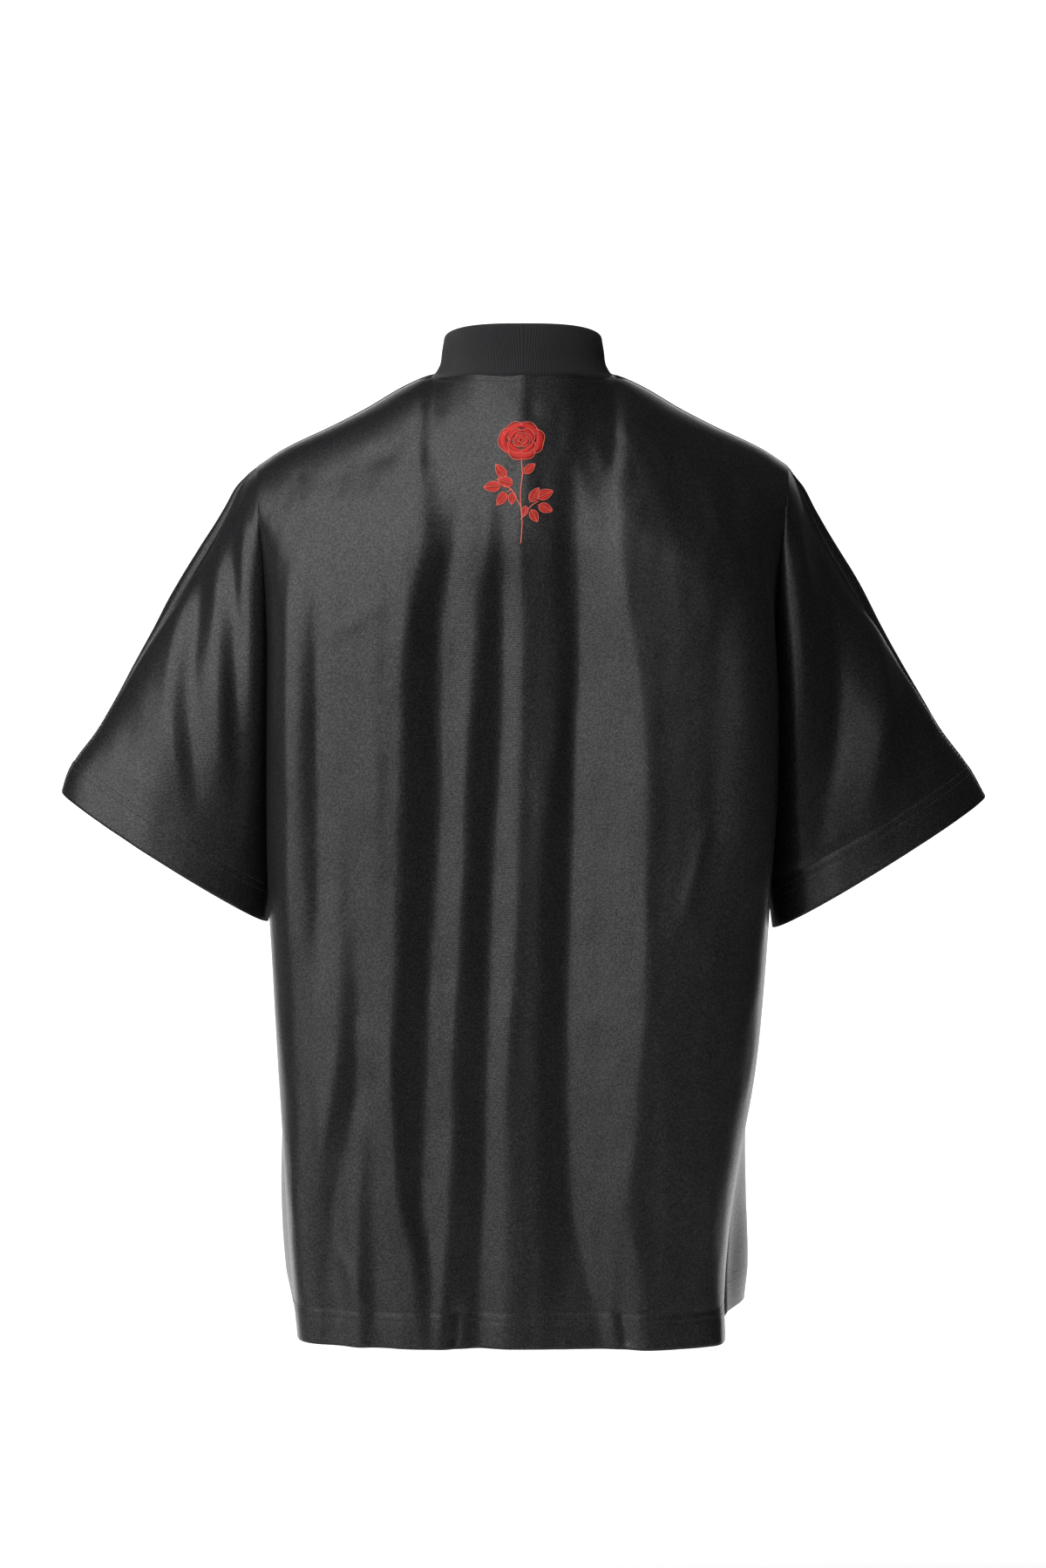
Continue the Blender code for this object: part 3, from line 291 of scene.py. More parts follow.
# ---------------------------------------------------------------- folds
# Each panel's lines run from the wearer's left to the right.
BODY_FOLDS = {
    "back": (
        FoldLine("left_end", ((0.205, 0.0, 0.0), (0.205, 0.77, 0.0))),
        FoldLine("left_edge", (
            (0.185, 0.12, 0.0), (0.184, 0.18, 0.007), (0.184, 0.41, 0.007), (0.184, 0.5, 0.003),
            (0.184, 0.58, 0.003), (0.183, 0.66, 0.006), (0.18, 0.77, 0.007))),
        FoldLine("left_edge_trough", (
            (0.166, 0.12, 0.0), (0.165, 0.18, -0.001), (0.164, 0.41, -0.001), (0.168, 0.5, 0.002),
            (0.171, 0.58, 0.002), (0.17, 0.66, 0.0), (0.168, 0.77, 0.0))),
        FoldLine("hip_crest", (
            (0.15, 0.05, -0.004), (0.15, 0.2, 0.003), (0.15, 0.38, 0.003), (0.147, 0.5, 0.007),
            (0.152, 0.56, 0.008), (0.161, 0.61, 0.006), (0.164, 0.65, 0.0), (0.16, 0.7, -0.003),
            (0.157, 0.77, -0.003))),
        FoldLine("hip_trough", (
            (0.135, 0.05, -0.005), (0.135, 0.2, 0.006), (0.135, 0.38, 0.006), (0.131, 0.5, 0.005),
            (0.133, 0.56, 0.003), (0.141, 0.6, 0.002), (0.151, 0.64, -0.003), (0.151, 0.7, -0.004),
            (0.149, 0.77, -0.003))),
        FoldLine("hem_crest", (
            (0.124, 0.05, -0.0055), (0.124, 0.2, 0.008), (0.124, 0.5, 0.008), (0.124, 0.56, 0.007),
            (0.13, 0.62, 0.006), (0.132, 0.68, 0.006), (0.132, 0.77, 0.005))),
        FoldLine("hem_groove", (
            (0.118, 0.05, -0.0055), (0.118, 0.2, 0.01), (0.118, 0.5, 0.01), (0.118, 0.56, 0.009),
            (0.119, 0.62, 0.007), (0.119, 0.7, 0.004), (0.119, 0.77, 0.003))),
        FoldLine("left_blade", (
            (0.079, 0.05, -0.005), (0.079, 0.11, 0.009), (0.0875, 0.156, 0.013), (0.093, 0.2, 0.015),
            (0.096, 0.28, 0.015), (0.099, 0.37, 0.015), (0.1, 0.45, 0.015), (0.1055, 0.54, 0.015),
            (0.103, 0.59, 0.015), (0.0985, 0.65, 0.014), (0.088, 0.7, 0.013), (0.083, 0.77, 0.011))),
        FoldLine("left_trough", (
            (0.046, 0.05, -0.0015), (0.0555, 0.11, 0.0045), (0.0645, 0.156, 0.004), (0.067, 0.2, 0.004),
            (0.066, 0.28, 0.004), (0.0695, 0.37, 0.004), (0.075, 0.45, 0.004), (0.078, 0.54, 0.004),
            (0.081, 0.6, 0.004), (0.082, 0.65, 0.005), (0.076, 0.7, 0.008), (0.074, 0.77, 0.011))),
        FoldLine("left_of_middle", (
            (0.024, 0.05, 0.0012), (0.0257, 0.11, 0.0105), (0.033, 0.156, 0.011), (0.0355, 0.2, 0.012),
            (0.044, 0.28, 0.012), (0.047, 0.37, 0.012), (0.05, 0.45, 0.012), (0.0555, 0.54, 0.012),
            (0.056, 0.59, 0.012), (0.059, 0.67, 0.013), (0.062, 0.71, 0.013), (0.068, 0.77, 0.013))),
        FoldLine("middle_trough", (
            (0.018, 0.05, 0.002), (0.0185, 0.11, 0.009), (0.0165, 0.156, 0.005), (0.0167, 0.2, 0.004),
            (0.018, 0.28, 0.003), (0.0243, 0.37, 0.003), (0.027, 0.45, 0.003), (0.029, 0.54, 0.003),
            (0.031, 0.62, 0.003), (0.036, 0.7, 0.003), (0.036, 0.77, 0.003))),
        FoldLine("middle", (
            (0.001, -0.06, 0.004), (0.001, 0.05, 0.0042), (0.003, 0.11, 0.012), (0.002, 0.2, 0.01),
            (0.004, 0.28, 0.01), (0.005, 0.37, 0.01), (0.007, 0.45, 0.011), (0.013, 0.54, 0.011),
            (0.0145, 0.6, 0.011), (0.0145, 0.7, 0.011), (0.016, 0.77, 0.011))),
        FoldLine("middle_right", (
            (-0.026, -0.06, 0.002), (-0.026, 0.05, 0.0025), (-0.024, 0.11, 0.009), (-0.028, 0.2, 0.008),
            (-0.026, 0.28, 0.009), (-0.0155, 0.37, 0.01), (-0.014, 0.45, 0.01), (-0.014, 0.77, 0.01))),
        FoldLine("right_trough", (
            (-0.04, -0.06, 0.001), (-0.04, 0.05, 0.0015), (-0.0415, 0.11, 0.003), (-0.043, 0.2, 0.001),
            (-0.04, 0.28, 0.001), (-0.038, 0.37, 0.001), (-0.035, 0.45, 0.001), (-0.033, 0.54, 0.001),
            (-0.035, 0.59, 0.001), (-0.038, 0.65, 0.001), (-0.048, 0.7, 0.003), (-0.066, 0.77, 0.007))),
        FoldLine("right_blade", (
            (-0.074, 0.04, 0.0018), (-0.077, 0.11, 0.015), (-0.082, 0.156, 0.018), (-0.0895, 0.2, 0.02),
            (-0.096, 0.28, 0.021), (-0.097, 0.37, 0.021), (-0.097, 0.45, 0.021), (-0.093, 0.54, 0.021),
            (-0.089, 0.6, 0.019), (-0.083, 0.66, 0.017), (-0.097, 0.71, 0.016), (-0.099, 0.77, 0.015))),
        FoldLine("right_flat", (
            (-0.146, 0.04, 0.0012), (-0.148, 0.11, 0.013), (-0.151, 0.18, 0.017), (-0.151, 0.3, 0.018),
            (-0.15, 0.45, 0.018), (-0.146, 0.6, 0.014), (-0.142, 0.77, 0.008))),
        FoldLine("right_side", (
            (-0.183, 0.08, 0.002), (-0.185, 0.15, 0.014), (-0.186, 0.22, 0.025), (-0.186, 0.3, 0.028),
            (-0.184, 0.38, 0.022), (-0.18, 0.46, 0.013), (-0.165, 0.6, 0.007), (-0.155, 0.7, 0.006),
            (-0.152, 0.77, 0.012))),
        FoldLine("right_end", ((-0.207, 0.0, 0.0), (-0.2, 0.5, 0.0), (-0.172, 0.77, 0.0))),
    ),
    "front": (
        FoldLine("left_end", ((0.205, 0.0, 0.0), (0.205, 0.77, 0.0))),
        FoldLine("left_fall", ((0.152, 0.12, 0.0), (0.15, 0.24, 0.009), (0.146, 0.77, 0.007))),
        FoldLine("left_trough", ((0.122, 0.12, 0.0), (0.119, 0.24, -0.002), (0.114, 0.77, -0.003))),
        FoldLine("left_chest", ((0.09, 0.1, 0.0), (0.086, 0.26, 0.009), (0.08, 0.77, 0.011))),
        FoldLine("left_middle_trough", ((0.052, 0.12, 0.0), (0.047, 0.3, -0.002), (0.042, 0.77, -0.003))),
        FoldLine("middle", ((0.014, 0.16, 0.0), (0.01, 0.34, 0.009), (0.004, 0.77, 0.012))),
        FoldLine("right_middle_trough", (
            (-0.03, 0.12, 0.0), (-0.032, 0.3, -0.002), (-0.036, 0.77, -0.003))),
        FoldLine("right_chest", ((-0.074, 0.1, 0.0), (-0.077, 0.26, 0.01), (-0.082, 0.77, 0.012))),
        FoldLine("right_trough", ((-0.112, 0.12, 0.0), (-0.113, 0.26, -0.001), (-0.114, 0.77, -0.002))),
        FoldLine("right_fall", ((-0.144, 0.12, 0.0), (-0.143, 0.24, 0.008), (-0.138, 0.77, 0.006))),
        FoldLine("right_end", ((-0.207, 0.0, 0.0), (-0.2, 0.5, 0.0), (-0.172, 0.77, 0.0))),
    ),
}

BODY_PULLS = {
    "back": (
        Pull("left_shoulder_groove", (0.181, 0.062), (0.176, 0.088), 0.0040, -0.0008),
        Pull("left_blade_pull", (0.150, 0.190), (0.110, 0.160), 0.007, 0.0010),
        Pull("right_shoulder_pull", (-0.182, 0.075), (-0.176, 0.125), 0.009, 0.0010),
        Pull("right_waist_pull", (-0.147, 0.335), (-0.126, 0.420), 0.005, 0.0012),
        Pull("left_waist_pull", (0.129, 0.505), (0.122, 0.545), 0.005, 0.0012),
        Pull("left_hip_pull", (0.150, 0.690), (0.128, 0.735), 0.006, 0.0012),
        Pull("hem_tuck_left", (0.052, 0.735), (0.056, 0.771), 0.004, -0.0030),
        Pull("hem_tuck_right", (-0.078, 0.735), (-0.084, 0.771), 0.005, -0.0030),
    ),
    "front": (
        Pull("left_shoulder_groove", (0.172, 0.070), (0.166, 0.100), 0.005, -0.0014),
        Pull("right_shoulder_pull", (-0.178, 0.080), (-0.170, 0.120), 0.008, 0.0018),
        Pull("neck_drape", (0.046, 0.125), (0.010, 0.205), 0.009, 0.0016),
        Pull("chest_pull", (0.120, 0.235), (0.056, 0.345), 0.012, 0.0030),
        Pull("left_chest_dip", (0.083, 0.490), (0.088, 0.650), 0.013, -0.0046),
        Pull("left_fall_dip", (0.152, 0.420), (0.140, 0.540), 0.010, -0.0032),
        Pull("left_trough_fill", (0.119, 0.310), (0.106, 0.470), 0.010, 0.0040),
        Pull("left_hem_fold", (0.032, 0.590), (0.056, 0.760), 0.009, 0.0038),
        Pull("middle_fork", (0.012, 0.290), (-0.032, 0.520), 0.009, 0.0038),
        Pull("middle_dip", (0.006, 0.580), (0.004, 0.700), 0.012, -0.0038),
        Pull("right_chest_dip", (-0.076, 0.300), (-0.088, 0.440), 0.012, -0.0036),
        Pull("right_waist_fold", (-0.116, 0.380), (-0.096, 0.620), 0.009, 0.0038),
        Pull("right_hem_fold", (-0.030, 0.560), (-0.054, 0.750), 0.011, 0.0044),
        Pull("right_hip_dip", (-0.138, 0.510), (-0.152, 0.690), 0.012, -0.0034),
        Pull("hem_tuck_left", (0.062, 0.735), (0.066, 0.771), 0.004, -0.0025),
        Pull("hem_tuck_right", (-0.046, 0.735), (-0.050, 0.771), 0.005, -0.0025),
    ),
}

SLEEVE_FOLDS = {
    "back": (
        FoldLine("left_end", ((0.31, 0.0, 0.0), (0.33, 0.45, 0.0))),
        FoldLine("left_outer_crest", (
            (0.2525, 0.1, 0.0), (0.2625, 0.14, 0.005), (0.2735, 0.2, 0.007), (0.2805, 0.25, 0.007),
            (0.278, 0.29, 0.006), (0.27, 0.35, 0.0))),
        FoldLine("left_outer_trough", (
            (0.245, 0.1, 0.0), (0.254, 0.14, -0.002), (0.264, 0.2, -0.003), (0.2695, 0.25, -0.003),
            (0.2665, 0.29, -0.002), (0.26, 0.35, 0.0))),
        FoldLine("left_middle_crest", (
            (0.238, 0.1, 0.0), (0.2435, 0.14, 0.004), (0.2435, 0.2, 0.006), (0.2425, 0.25, 0.006),
            (0.2415, 0.29, 0.005), (0.242, 0.35, 0.0))),
        FoldLine("left_inner_trough", (
            (0.229, 0.1, 0.0), (0.2305, 0.14, 0.0), (0.2295, 0.2, -0.001), (0.2285, 0.25, -0.001),
            (0.228, 0.3, 0.0), (0.23, 0.36, 0.0))),
        FoldLine("left_inner_crest", (
            (0.22, 0.08, 0.0), (0.221, 0.13, 0.006), (0.2185, 0.2, 0.009), (0.218, 0.26, 0.009),
            (0.218, 0.32, 0.005), (0.219, 0.38, 0.0))),
        FoldLine("middle", ((0.0, 0.0, 0.0), (0.0, 0.45, 0.0))),
        FoldLine("right_inner_crest", (
            (-0.218, 0.08, 0.0), (-0.2205, 0.13, 0.005), (-0.2215, 0.2, 0.008), (-0.2215, 0.28, 0.008),
            (-0.223, 0.34, 0.006), (-0.23, 0.4, 0.002))),
        FoldLine("right_trough", (
            (-0.23, 0.08, 0.0), (-0.236, 0.127, -0.004), (-0.2465, 0.17, -0.005),
            (-0.2535, 0.226, -0.006), (-0.2515, 0.283, -0.006), (-0.2405, 0.34, -0.002),
            (-0.238, 0.38, 0.0))),
        FoldLine("right_crest", (
            (-0.248, 0.08, 0.0), (-0.266, 0.127, 0.005), (-0.278, 0.17, 0.007), (-0.286, 0.226, 0.009),
            (-0.288, 0.283, 0.009), (-0.278, 0.34, 0.004), (-0.27, 0.38, 0.0))),
        FoldLine("right_outer_trough", (
            (-0.262, 0.08, 0.0), (-0.284, 0.15, 0.0), (-0.306, 0.24, 0.0), (-0.312, 0.3, 0.0),
            (-0.32, 0.38, 0.0))),
        FoldLine("right_end", ((-0.32, 0.0, 0.0), (-0.34, 0.45, 0.0))),
    ),
    "front": (
        FoldLine("left_end", ((0.31, 0.0, 0.0), (0.33, 0.45, 0.0))),
        FoldLine("left_crest", (
            (0.252, 0.1, 0.0), (0.262, 0.18, 0.006), (0.27, 0.27, 0.006), (0.272, 0.36, 0.0))),
        FoldLine("left_trough", (
            (0.232, 0.1, 0.0), (0.238, 0.18, -0.003), (0.242, 0.27, -0.003), (0.246, 0.36, 0.0))),
        FoldLine("middle", ((0.0, 0.0, 0.0), (0.0, 0.45, 0.0))),
        FoldLine("right_trough", (
            (-0.234, 0.1, 0.0), (-0.24, 0.18, -0.003), (-0.244, 0.27, -0.003), (-0.248, 0.36, 0.0))),
        FoldLine("right_crest", (
            (-0.254, 0.1, 0.0), (-0.264, 0.18, 0.006), (-0.272, 0.27, 0.006), (-0.276, 0.36, 0.0))),
        FoldLine("right_end", ((-0.32, 0.0, 0.0), (-0.34, 0.45, 0.0))),
    ),
}

SLEEVE_PULLS = {
    "back": (
        Pull("left_hem_pull", (0.342, 0.300), (0.290, 0.325), 0.004, 0.0009),
        Pull("right_edge_wrinkle", (-0.312, 0.248), (-0.322, 0.282), 0.005, 0.0026),
        Pull("right_edge_wrinkle_low", (-0.326, 0.262), (-0.334, 0.300), 0.004, 0.0020),
        Pull("right_hem_pull", (-0.300, 0.300), (-0.345, 0.300), 0.006, 0.0012),
    ),
    "front": (
        Pull("left_hem_pull", (0.330, 0.300), (0.290, 0.320), 0.005, 0.0010),
        Pull("right_hem_pull", (-0.300, 0.300), (-0.340, 0.300), 0.006, 0.0012),
    ),
}


# ---------------------------------------------------------------- small helpers
def smooth_step(value):
    """0 below 0, 1 above 1, and an even curve between."""
    held = np.clip(value, 0.0, 1.0)
    return held * held * (3.0 - 2.0 * held)


def smooth_curve(stations, values, at):
    """Values at `at` on a smooth curve through the stations, level beyond its ends."""
    stations = np.asarray(stations, float)
    values = np.asarray(values, float)
    last = len(stations) - 1
    index = np.arange(last + 1)
    before = np.maximum(index - 1, 0)
    after = np.minimum(index + 1, last)
    slopes = (values[after] - values[before]) / (stations[after] - stations[before])
    at = np.clip(at, stations[0], stations[last])
    low = np.clip(np.searchsorted(stations, at) - 1, 0, last - 1)
    span = stations[low + 1] - stations[low]
    part = (at - stations[low]) / span
    rise = values[low + 1] - values[low]
    pull_start = slopes[low] * span - rise
    pull_end = rise - slopes[low + 1] * span
    bend = part * (1 - part) * ((1 - part) * pull_start + part * pull_end)
    return values[low] + part * rise + bend


def read_table(table, column, at):
    """A smooth value of one column where the table's first column is `at`."""
    return smooth_curve([row[0] for row in table], [getattr(row, column) for row in table], at)


def fold_heights(lines, pulls, x, drop):
    """How far the folds and pulls move the cloth out at places seen from the back or front."""
    drops = [[point[1] for point in line.points] for line in lines]
    places = [smooth_curve(at, [point[0] for point in line.points], drop) for at, line in zip(drops, lines)]
    heights = [smooth_curve(at, [point[2] for point in line.points], drop) for at, line in zip(drops, lines)]
    height = np.zeros_like(x)
    for offset, weight in ROUNDING:
        for index in range(len(lines) - 1):
            width = np.maximum(places[index] - places[index + 1], 1e-4)
            part = np.clip((places[index] - x - offset) / width, 0.0, 1.0)
            height += weight * part * (heights[index + 1] - heights[index])
    for pull in pulls:
        run = np.subtract(pull.end, pull.start)
        length = math.hypot(*run)
        along = ((x - pull.start[0]) * run[0] + (drop - pull.start[1]) * run[1]) / length
        across = ((x - pull.start[0]) * run[1] - (drop - pull.start[1]) * run[0]) / length
        beyond = np.maximum(0.0, np.abs(along - length / 2) - length / 4) / (length / 2)
        height += pull.height * np.exp(-(across / pull.width) ** 2 - (beyond * 2) ** 2)
    return height


def unit(vectors):
    """The same vectors at length 1."""
    return vectors / np.maximum(np.linalg.norm(vectors, axis=-1, keepdims=True), 1e-12)


def ripple(points, size, seed, stretch=2.6):
    """Smooth noise from about -1 to 1, drawn out along the drop."""
    flat = points.reshape(-1, 3)
    values = [noise.noise(Vector((x / size + seed, y / size, z / size / stretch))) for x, y, z in flat]
    return np.array(values).reshape(points.shape[:-1])


# ---------------------------------------------------------------- the smooth form
def fall_share(face, x, drop):
    """How much of its full depth the cloth has reached at a drop below the crest."""
    below = drop - read_table(CRESTS, face, x)
    part = np.clip(below / read_table(CRESTS, "reach", x), 0.0, 1.0)
    return (2 * part - part * part) ** read_table(CRESTS, "power", x)


def full_depth(face, share, drop):
    """Distance of the hanging cloth from the seams' plane, where it hangs plumb."""
    edge = read_table(EDGES, face, drop)
    centre = read_table(CENTRES, face, drop)
    fullness = read_table(EDGES, "fullness", drop)
    roundness = read_table(EDGES, "roundness", drop)
    return edge + (centre - edge) * np.maximum(0.0, 1 - share ** fullness) ** roundness


def neck_line(angle, face):
    """Points of the neck seam on a panel's form; angle 0 is its middle."""
    side = SIDES[face]
    x = NECK_HALF_WIDTH * np.sin(angle)
    out = (NECK_BACK if side > 0 else NECK_FRONT) * np.cos(angle)
    drop = read_table(CRESTS, face, x)
    for _ in range(4):
        depth = np.abs(full_depth(face, x / TIP_HALF_WIDTH, np.maximum(drop, TIP_DROP)))
        risen = np.clip(out / depth, 0.0, 1.0) ** (1 / read_table(CRESTS, "power", x))
        drop = read_table(CRESTS, face, x) + read_table(CRESTS, "reach", x) * (1 - np.sqrt(1 - risen))
    return np.stack([x, side * (out + GAP / 2), -drop], -1)


def column_shares():
    """Each column's place from the middle (0) to the crease (1), at the top and lower down."""
    neck_share = NECK_HALF_WIDTH / TIP_HALF_WIDTH
    neck = neck_share * np.sin(np.linspace(0, math.pi / 2, NECK_COLUMNS + 1))
    shoulder = np.sin(np.linspace(math.asin(neck_share), math.pi / 2, SHOULDER_COLUMNS + 1))
    top = np.concatenate([neck, shoulder[1:]])
    even = np.sin(np.linspace(0, math.pi / 2, len(top)))
    return top, even


def top_edge(share, face):
    """The panel's top edge at shares of the half width: neck seam, then shoulder seam."""
    x = share * TIP_HALF_WIDTH
    neck = neck_line(np.arcsin(np.clip(x / NECK_HALF_WIDTH, 0.0, 1.0)), face)
    level = np.full_like(x, SIDES[face] * GAP / 2)
    shoulder = np.stack([x, level, -read_table(CRESTS, face, x)], -1)
    return np.where((x < NECK_HALF_WIDTH - 1e-6)[..., None], neck, shoulder)


def normals_of(grid, side):
    """Outward normals of a grid of points."""
    return unit(side * np.cross(np.gradient(grid, axis=0), np.gradient(grid, axis=1)))


def hanging(face, hand, share, drop):
    """Points of the smooth body, at shares of the half width and at drops."""
    level = np.maximum(drop, TIP_DROP)
    half = np.where(hand > 0, read_table(EDGES, "left", level), read_table(EDGES, "right", level))
    depth = full_depth(face, share, level) * fall_share(face, TIP_HALF_WIDTH * share, drop)
    from_edge = (1 - np.arcsin(np.clip(share, 0, 1)) / (math.pi / 2)) / ROLL_PEAK
    roll = np.where(hand > 0, read_table(SIDE_ROLLS, face + "_left", drop),
                    read_table(SIDE_ROLLS, face + "_right", drop))
    x = half * share + roll * from_edge * np.exp(1 - from_edge)
    return np.stack([hand * x, depth, -drop], -1)


def hanging_normals(face, hand, share, drop):
    """Outward normals of the smooth body at the same places."""
    nearer = np.maximum(share - 0.002, 0.0)
    farther = np.minimum(share + 0.002, 1.0)
    across = hanging(face, hand, nearer, drop) - hanging(face, hand, farther, drop)
    down = hanging(face, hand, share, drop + 0.0015) - hanging(face, hand, share, drop)
    return unit(SIDES[face] * hand[..., None] * np.cross(down, across))


def body_grid(face):
    """The body's points, rows from the top edge to the hem, columns from the left crease."""
    side = SIDES[face]
    top, even = column_shares()
    shares_top = np.concatenate([top[::-1], top[1:]])
    shares_even = np.concatenate([even[::-1], even[1:]])
    hand = np.concatenate([np.ones(len(top)), -np.ones(len(top) - 1)])
    upper = (np.arange(UPPER_ROWS + 1) / UPPER_ROWS) ** TOP_ROWS_CLOSE
    hem_top = BODY_LENGTH - HEM_ZONE
    lower = np.linspace(UNDERARM_DROP, hem_top, LOWER_ROWS + 1)[1:]
    close = np.linspace(hem_top, BODY_LENGTH, HEM_ROWS + 1)[1:]
    rows = UPPER_ROWS + 1 + LOWER_ROWS + HEM_ROWS
    blend = smooth_step(np.arange(rows) / (EVEN_BY * UPPER_ROWS))[:, None]
    share = shares_top + (shares_even - shares_top) * blend
    hand = np.broadcast_to(hand, share.shape)
    edge = top_edge(share, face)
    drop = np.empty_like(share)
    start = -edge[:UPPER_ROWS + 1, :, 2]
    drop[:UPPER_ROWS + 1] = start + (UNDERARM_DROP - start) * upper[:, None]
    drop[UPPER_ROWS + 1:] = np.concatenate([lower, close])[:, None]

    grid = hanging(face, hand, share, drop)
    grid[0] = edge[0] * np.stack([hand[0], np.ones_like(hand[0]), np.ones_like(hand[0])], -1)

    fade = (1 - share ** EDGE_HOLD) * smooth_step((drop + edge[..., 2]) / FOLD_START)
    height = fold_heights(BODY_FOLDS[face], BODY_PULLS[face], grid[..., 0], drop)
    height += 0.0010 * ripple(grid, 0.030, 3.0 + side) + 0.0004 * ripple(grid, 0.011, 7.0 + side)
    height += 0.0007 * ripple(grid, 0.015, 17.0 + side, 13.0)
    height += hem_pucker(BODY_LENGTH - drop, grid[..., 0])
    height *= fade
    height[0] = 0.0
    return grid + height[..., None] * hanging_normals(face, hand, share, drop)


def hem_pucker(above_hem, along):
    """The turned hem stands a little proud, and is drawn in along its two rows of stitches."""
    height = HEM_PROUD * smooth_step((HEM_DEPTH + 0.003 - above_hem) / 0.003)
    gather = 0.75 + 0.25 * np.sin(along * 2 * math.pi / GATHER_PITCH)
    for line in HEM_STITCH_LINES:
        height -= STITCH_DIP * gather * np.exp(-((above_hem - line) / STITCH_DIP_WIDTH) ** 2)
    return height


def sleeve_grid(face, hand, crease):
    """The points of half a sleeve, rows from the shoulder to the opening, from left to right."""
    side = SIDES[face]
    name = "left" if hand > 0 else "right"
    length = CUFF_INNER_DROP[hand] - TIP_DROP
    zone = 1 - np.linspace(HEM_ZONE, 0.0, HEM_ROWS + 1) / OVERARM_LENGTH
    zone = zone[zone > (UNDERARM_DROP - TIP_DROP) / length + 0.004]
    along = np.concatenate([(-crease[:, 2] - TIP_DROP) / length, zone])
    count = len(crease)
    end = np.empty((len(along), 3))
    end[:count] = crease
    inner_drop = TIP_DROP + along[count:] * length
    end[count:, 0] = hand * read_table(UNDERARM_SEAMS, name, inner_drop)
    end[count:, 1] = side * GAP / 2
    end[count:, 2] = -inner_drop
    drop = TIP_DROP + along * (CUFF_OUTER_DROP[hand] - TIP_DROP)
    inset = read_table(OVERARM, "inset", drop)
    start = np.stack([hand * (read_table(OVERARM, name, drop) - inset),
                      np.full_like(drop, side * GAP / 2), -drop], -1)
    turn = np.linspace(0, 1, SLEEVE_COLUMNS + 1)
    across = (1 - np.cos(math.pi * turn)) / 2
    bulge = read_table(SLEEVE_RINGS, face, along)[:, None]
    power = read_table(SLEEVE_RINGS, "roundness", along)[:, None]
    grid = start[:, None] + (end - start)[:, None] * across[None, :, None]
    grid[..., 1] += side * bulge * 2 * np.sqrt(across) * (1 - across) ** power
    if face == "front":
        from_seam = turn / ROLL_PEAK
        roll = inset[:, None] * from_seam * np.exp(1 - from_seam)
        grid[..., 0] += roll * hand * OVERARM_SLOPE[0]
        grid[..., 2] += roll * OVERARM_SLOPE[1]
    inside = (turn > 0) & (turn < 1)
    grid[:, inside, 2] += CUFF_TILT * along[:, None] * grid[:, inside, 1]
    fade = np.sin(math.pi * turn) ** 0.7 * smooth_step(along / SLEEVE_FOLD_START)[:, None]
    height = fold_heights(SLEEVE_FOLDS[face], SLEEVE_PULLS[face], grid[..., 0], -grid[..., 2])
    height += 0.0008 * ripple(grid, 0.026, 11.0 + side) + 0.0003 * ripple(grid, 0.010, 13.0)
    height += 0.0005 * ripple(grid, 0.014, 19.0 + side, 10.0)
    above = np.broadcast_to((1 - along)[:, None] * OVERARM_LENGTH, height.shape)
    height = height * fade + hem_pucker(above, grid[..., 0]) * np.sin(math.pi * turn) ** 0.3
    height[:, ~inside] = 0.0
    if hand < 0:
        grid = grid[:, ::-1]
        height = height[:, ::-1]
    return grid + height[..., None] * normals_of(grid, side)


# ---------------------------------------------------------------- meshes
def lengths_along(grid, axis):
    """Arc length of each point from the first one, along rows (0) or columns (1)."""
    steps = np.linalg.norm(np.diff(grid, axis=axis), axis=-1)
    start = np.zeros_like(np.take(steps, [0], axis=axis))
    return np.concatenate([start, np.cumsum(steps, axis=axis)], axis=axis)


def add_object(name, mesh, material):
    """Link a mesh as a piece that rides on the garment."""
    piece = bpy.data.objects.new(name, mesh)
    bpy.context.scene.collection.objects.link(piece)
    mesh.materials.clear()
    mesh.materials.append(material)
    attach(piece, "root")
    return piece


def settle(piece):
    """Apply a piece's modifiers to its mesh."""
    graph = bpy.context.evaluated_depsgraph_get()
    mesh = bpy.data.meshes.new_from_object(piece.evaluated_get(graph))
    old = piece.data
    piece.modifiers.clear()
    piece.data = mesh
    bpy.data.meshes.remove(old)
    mesh.name = piece.name
    return mesh


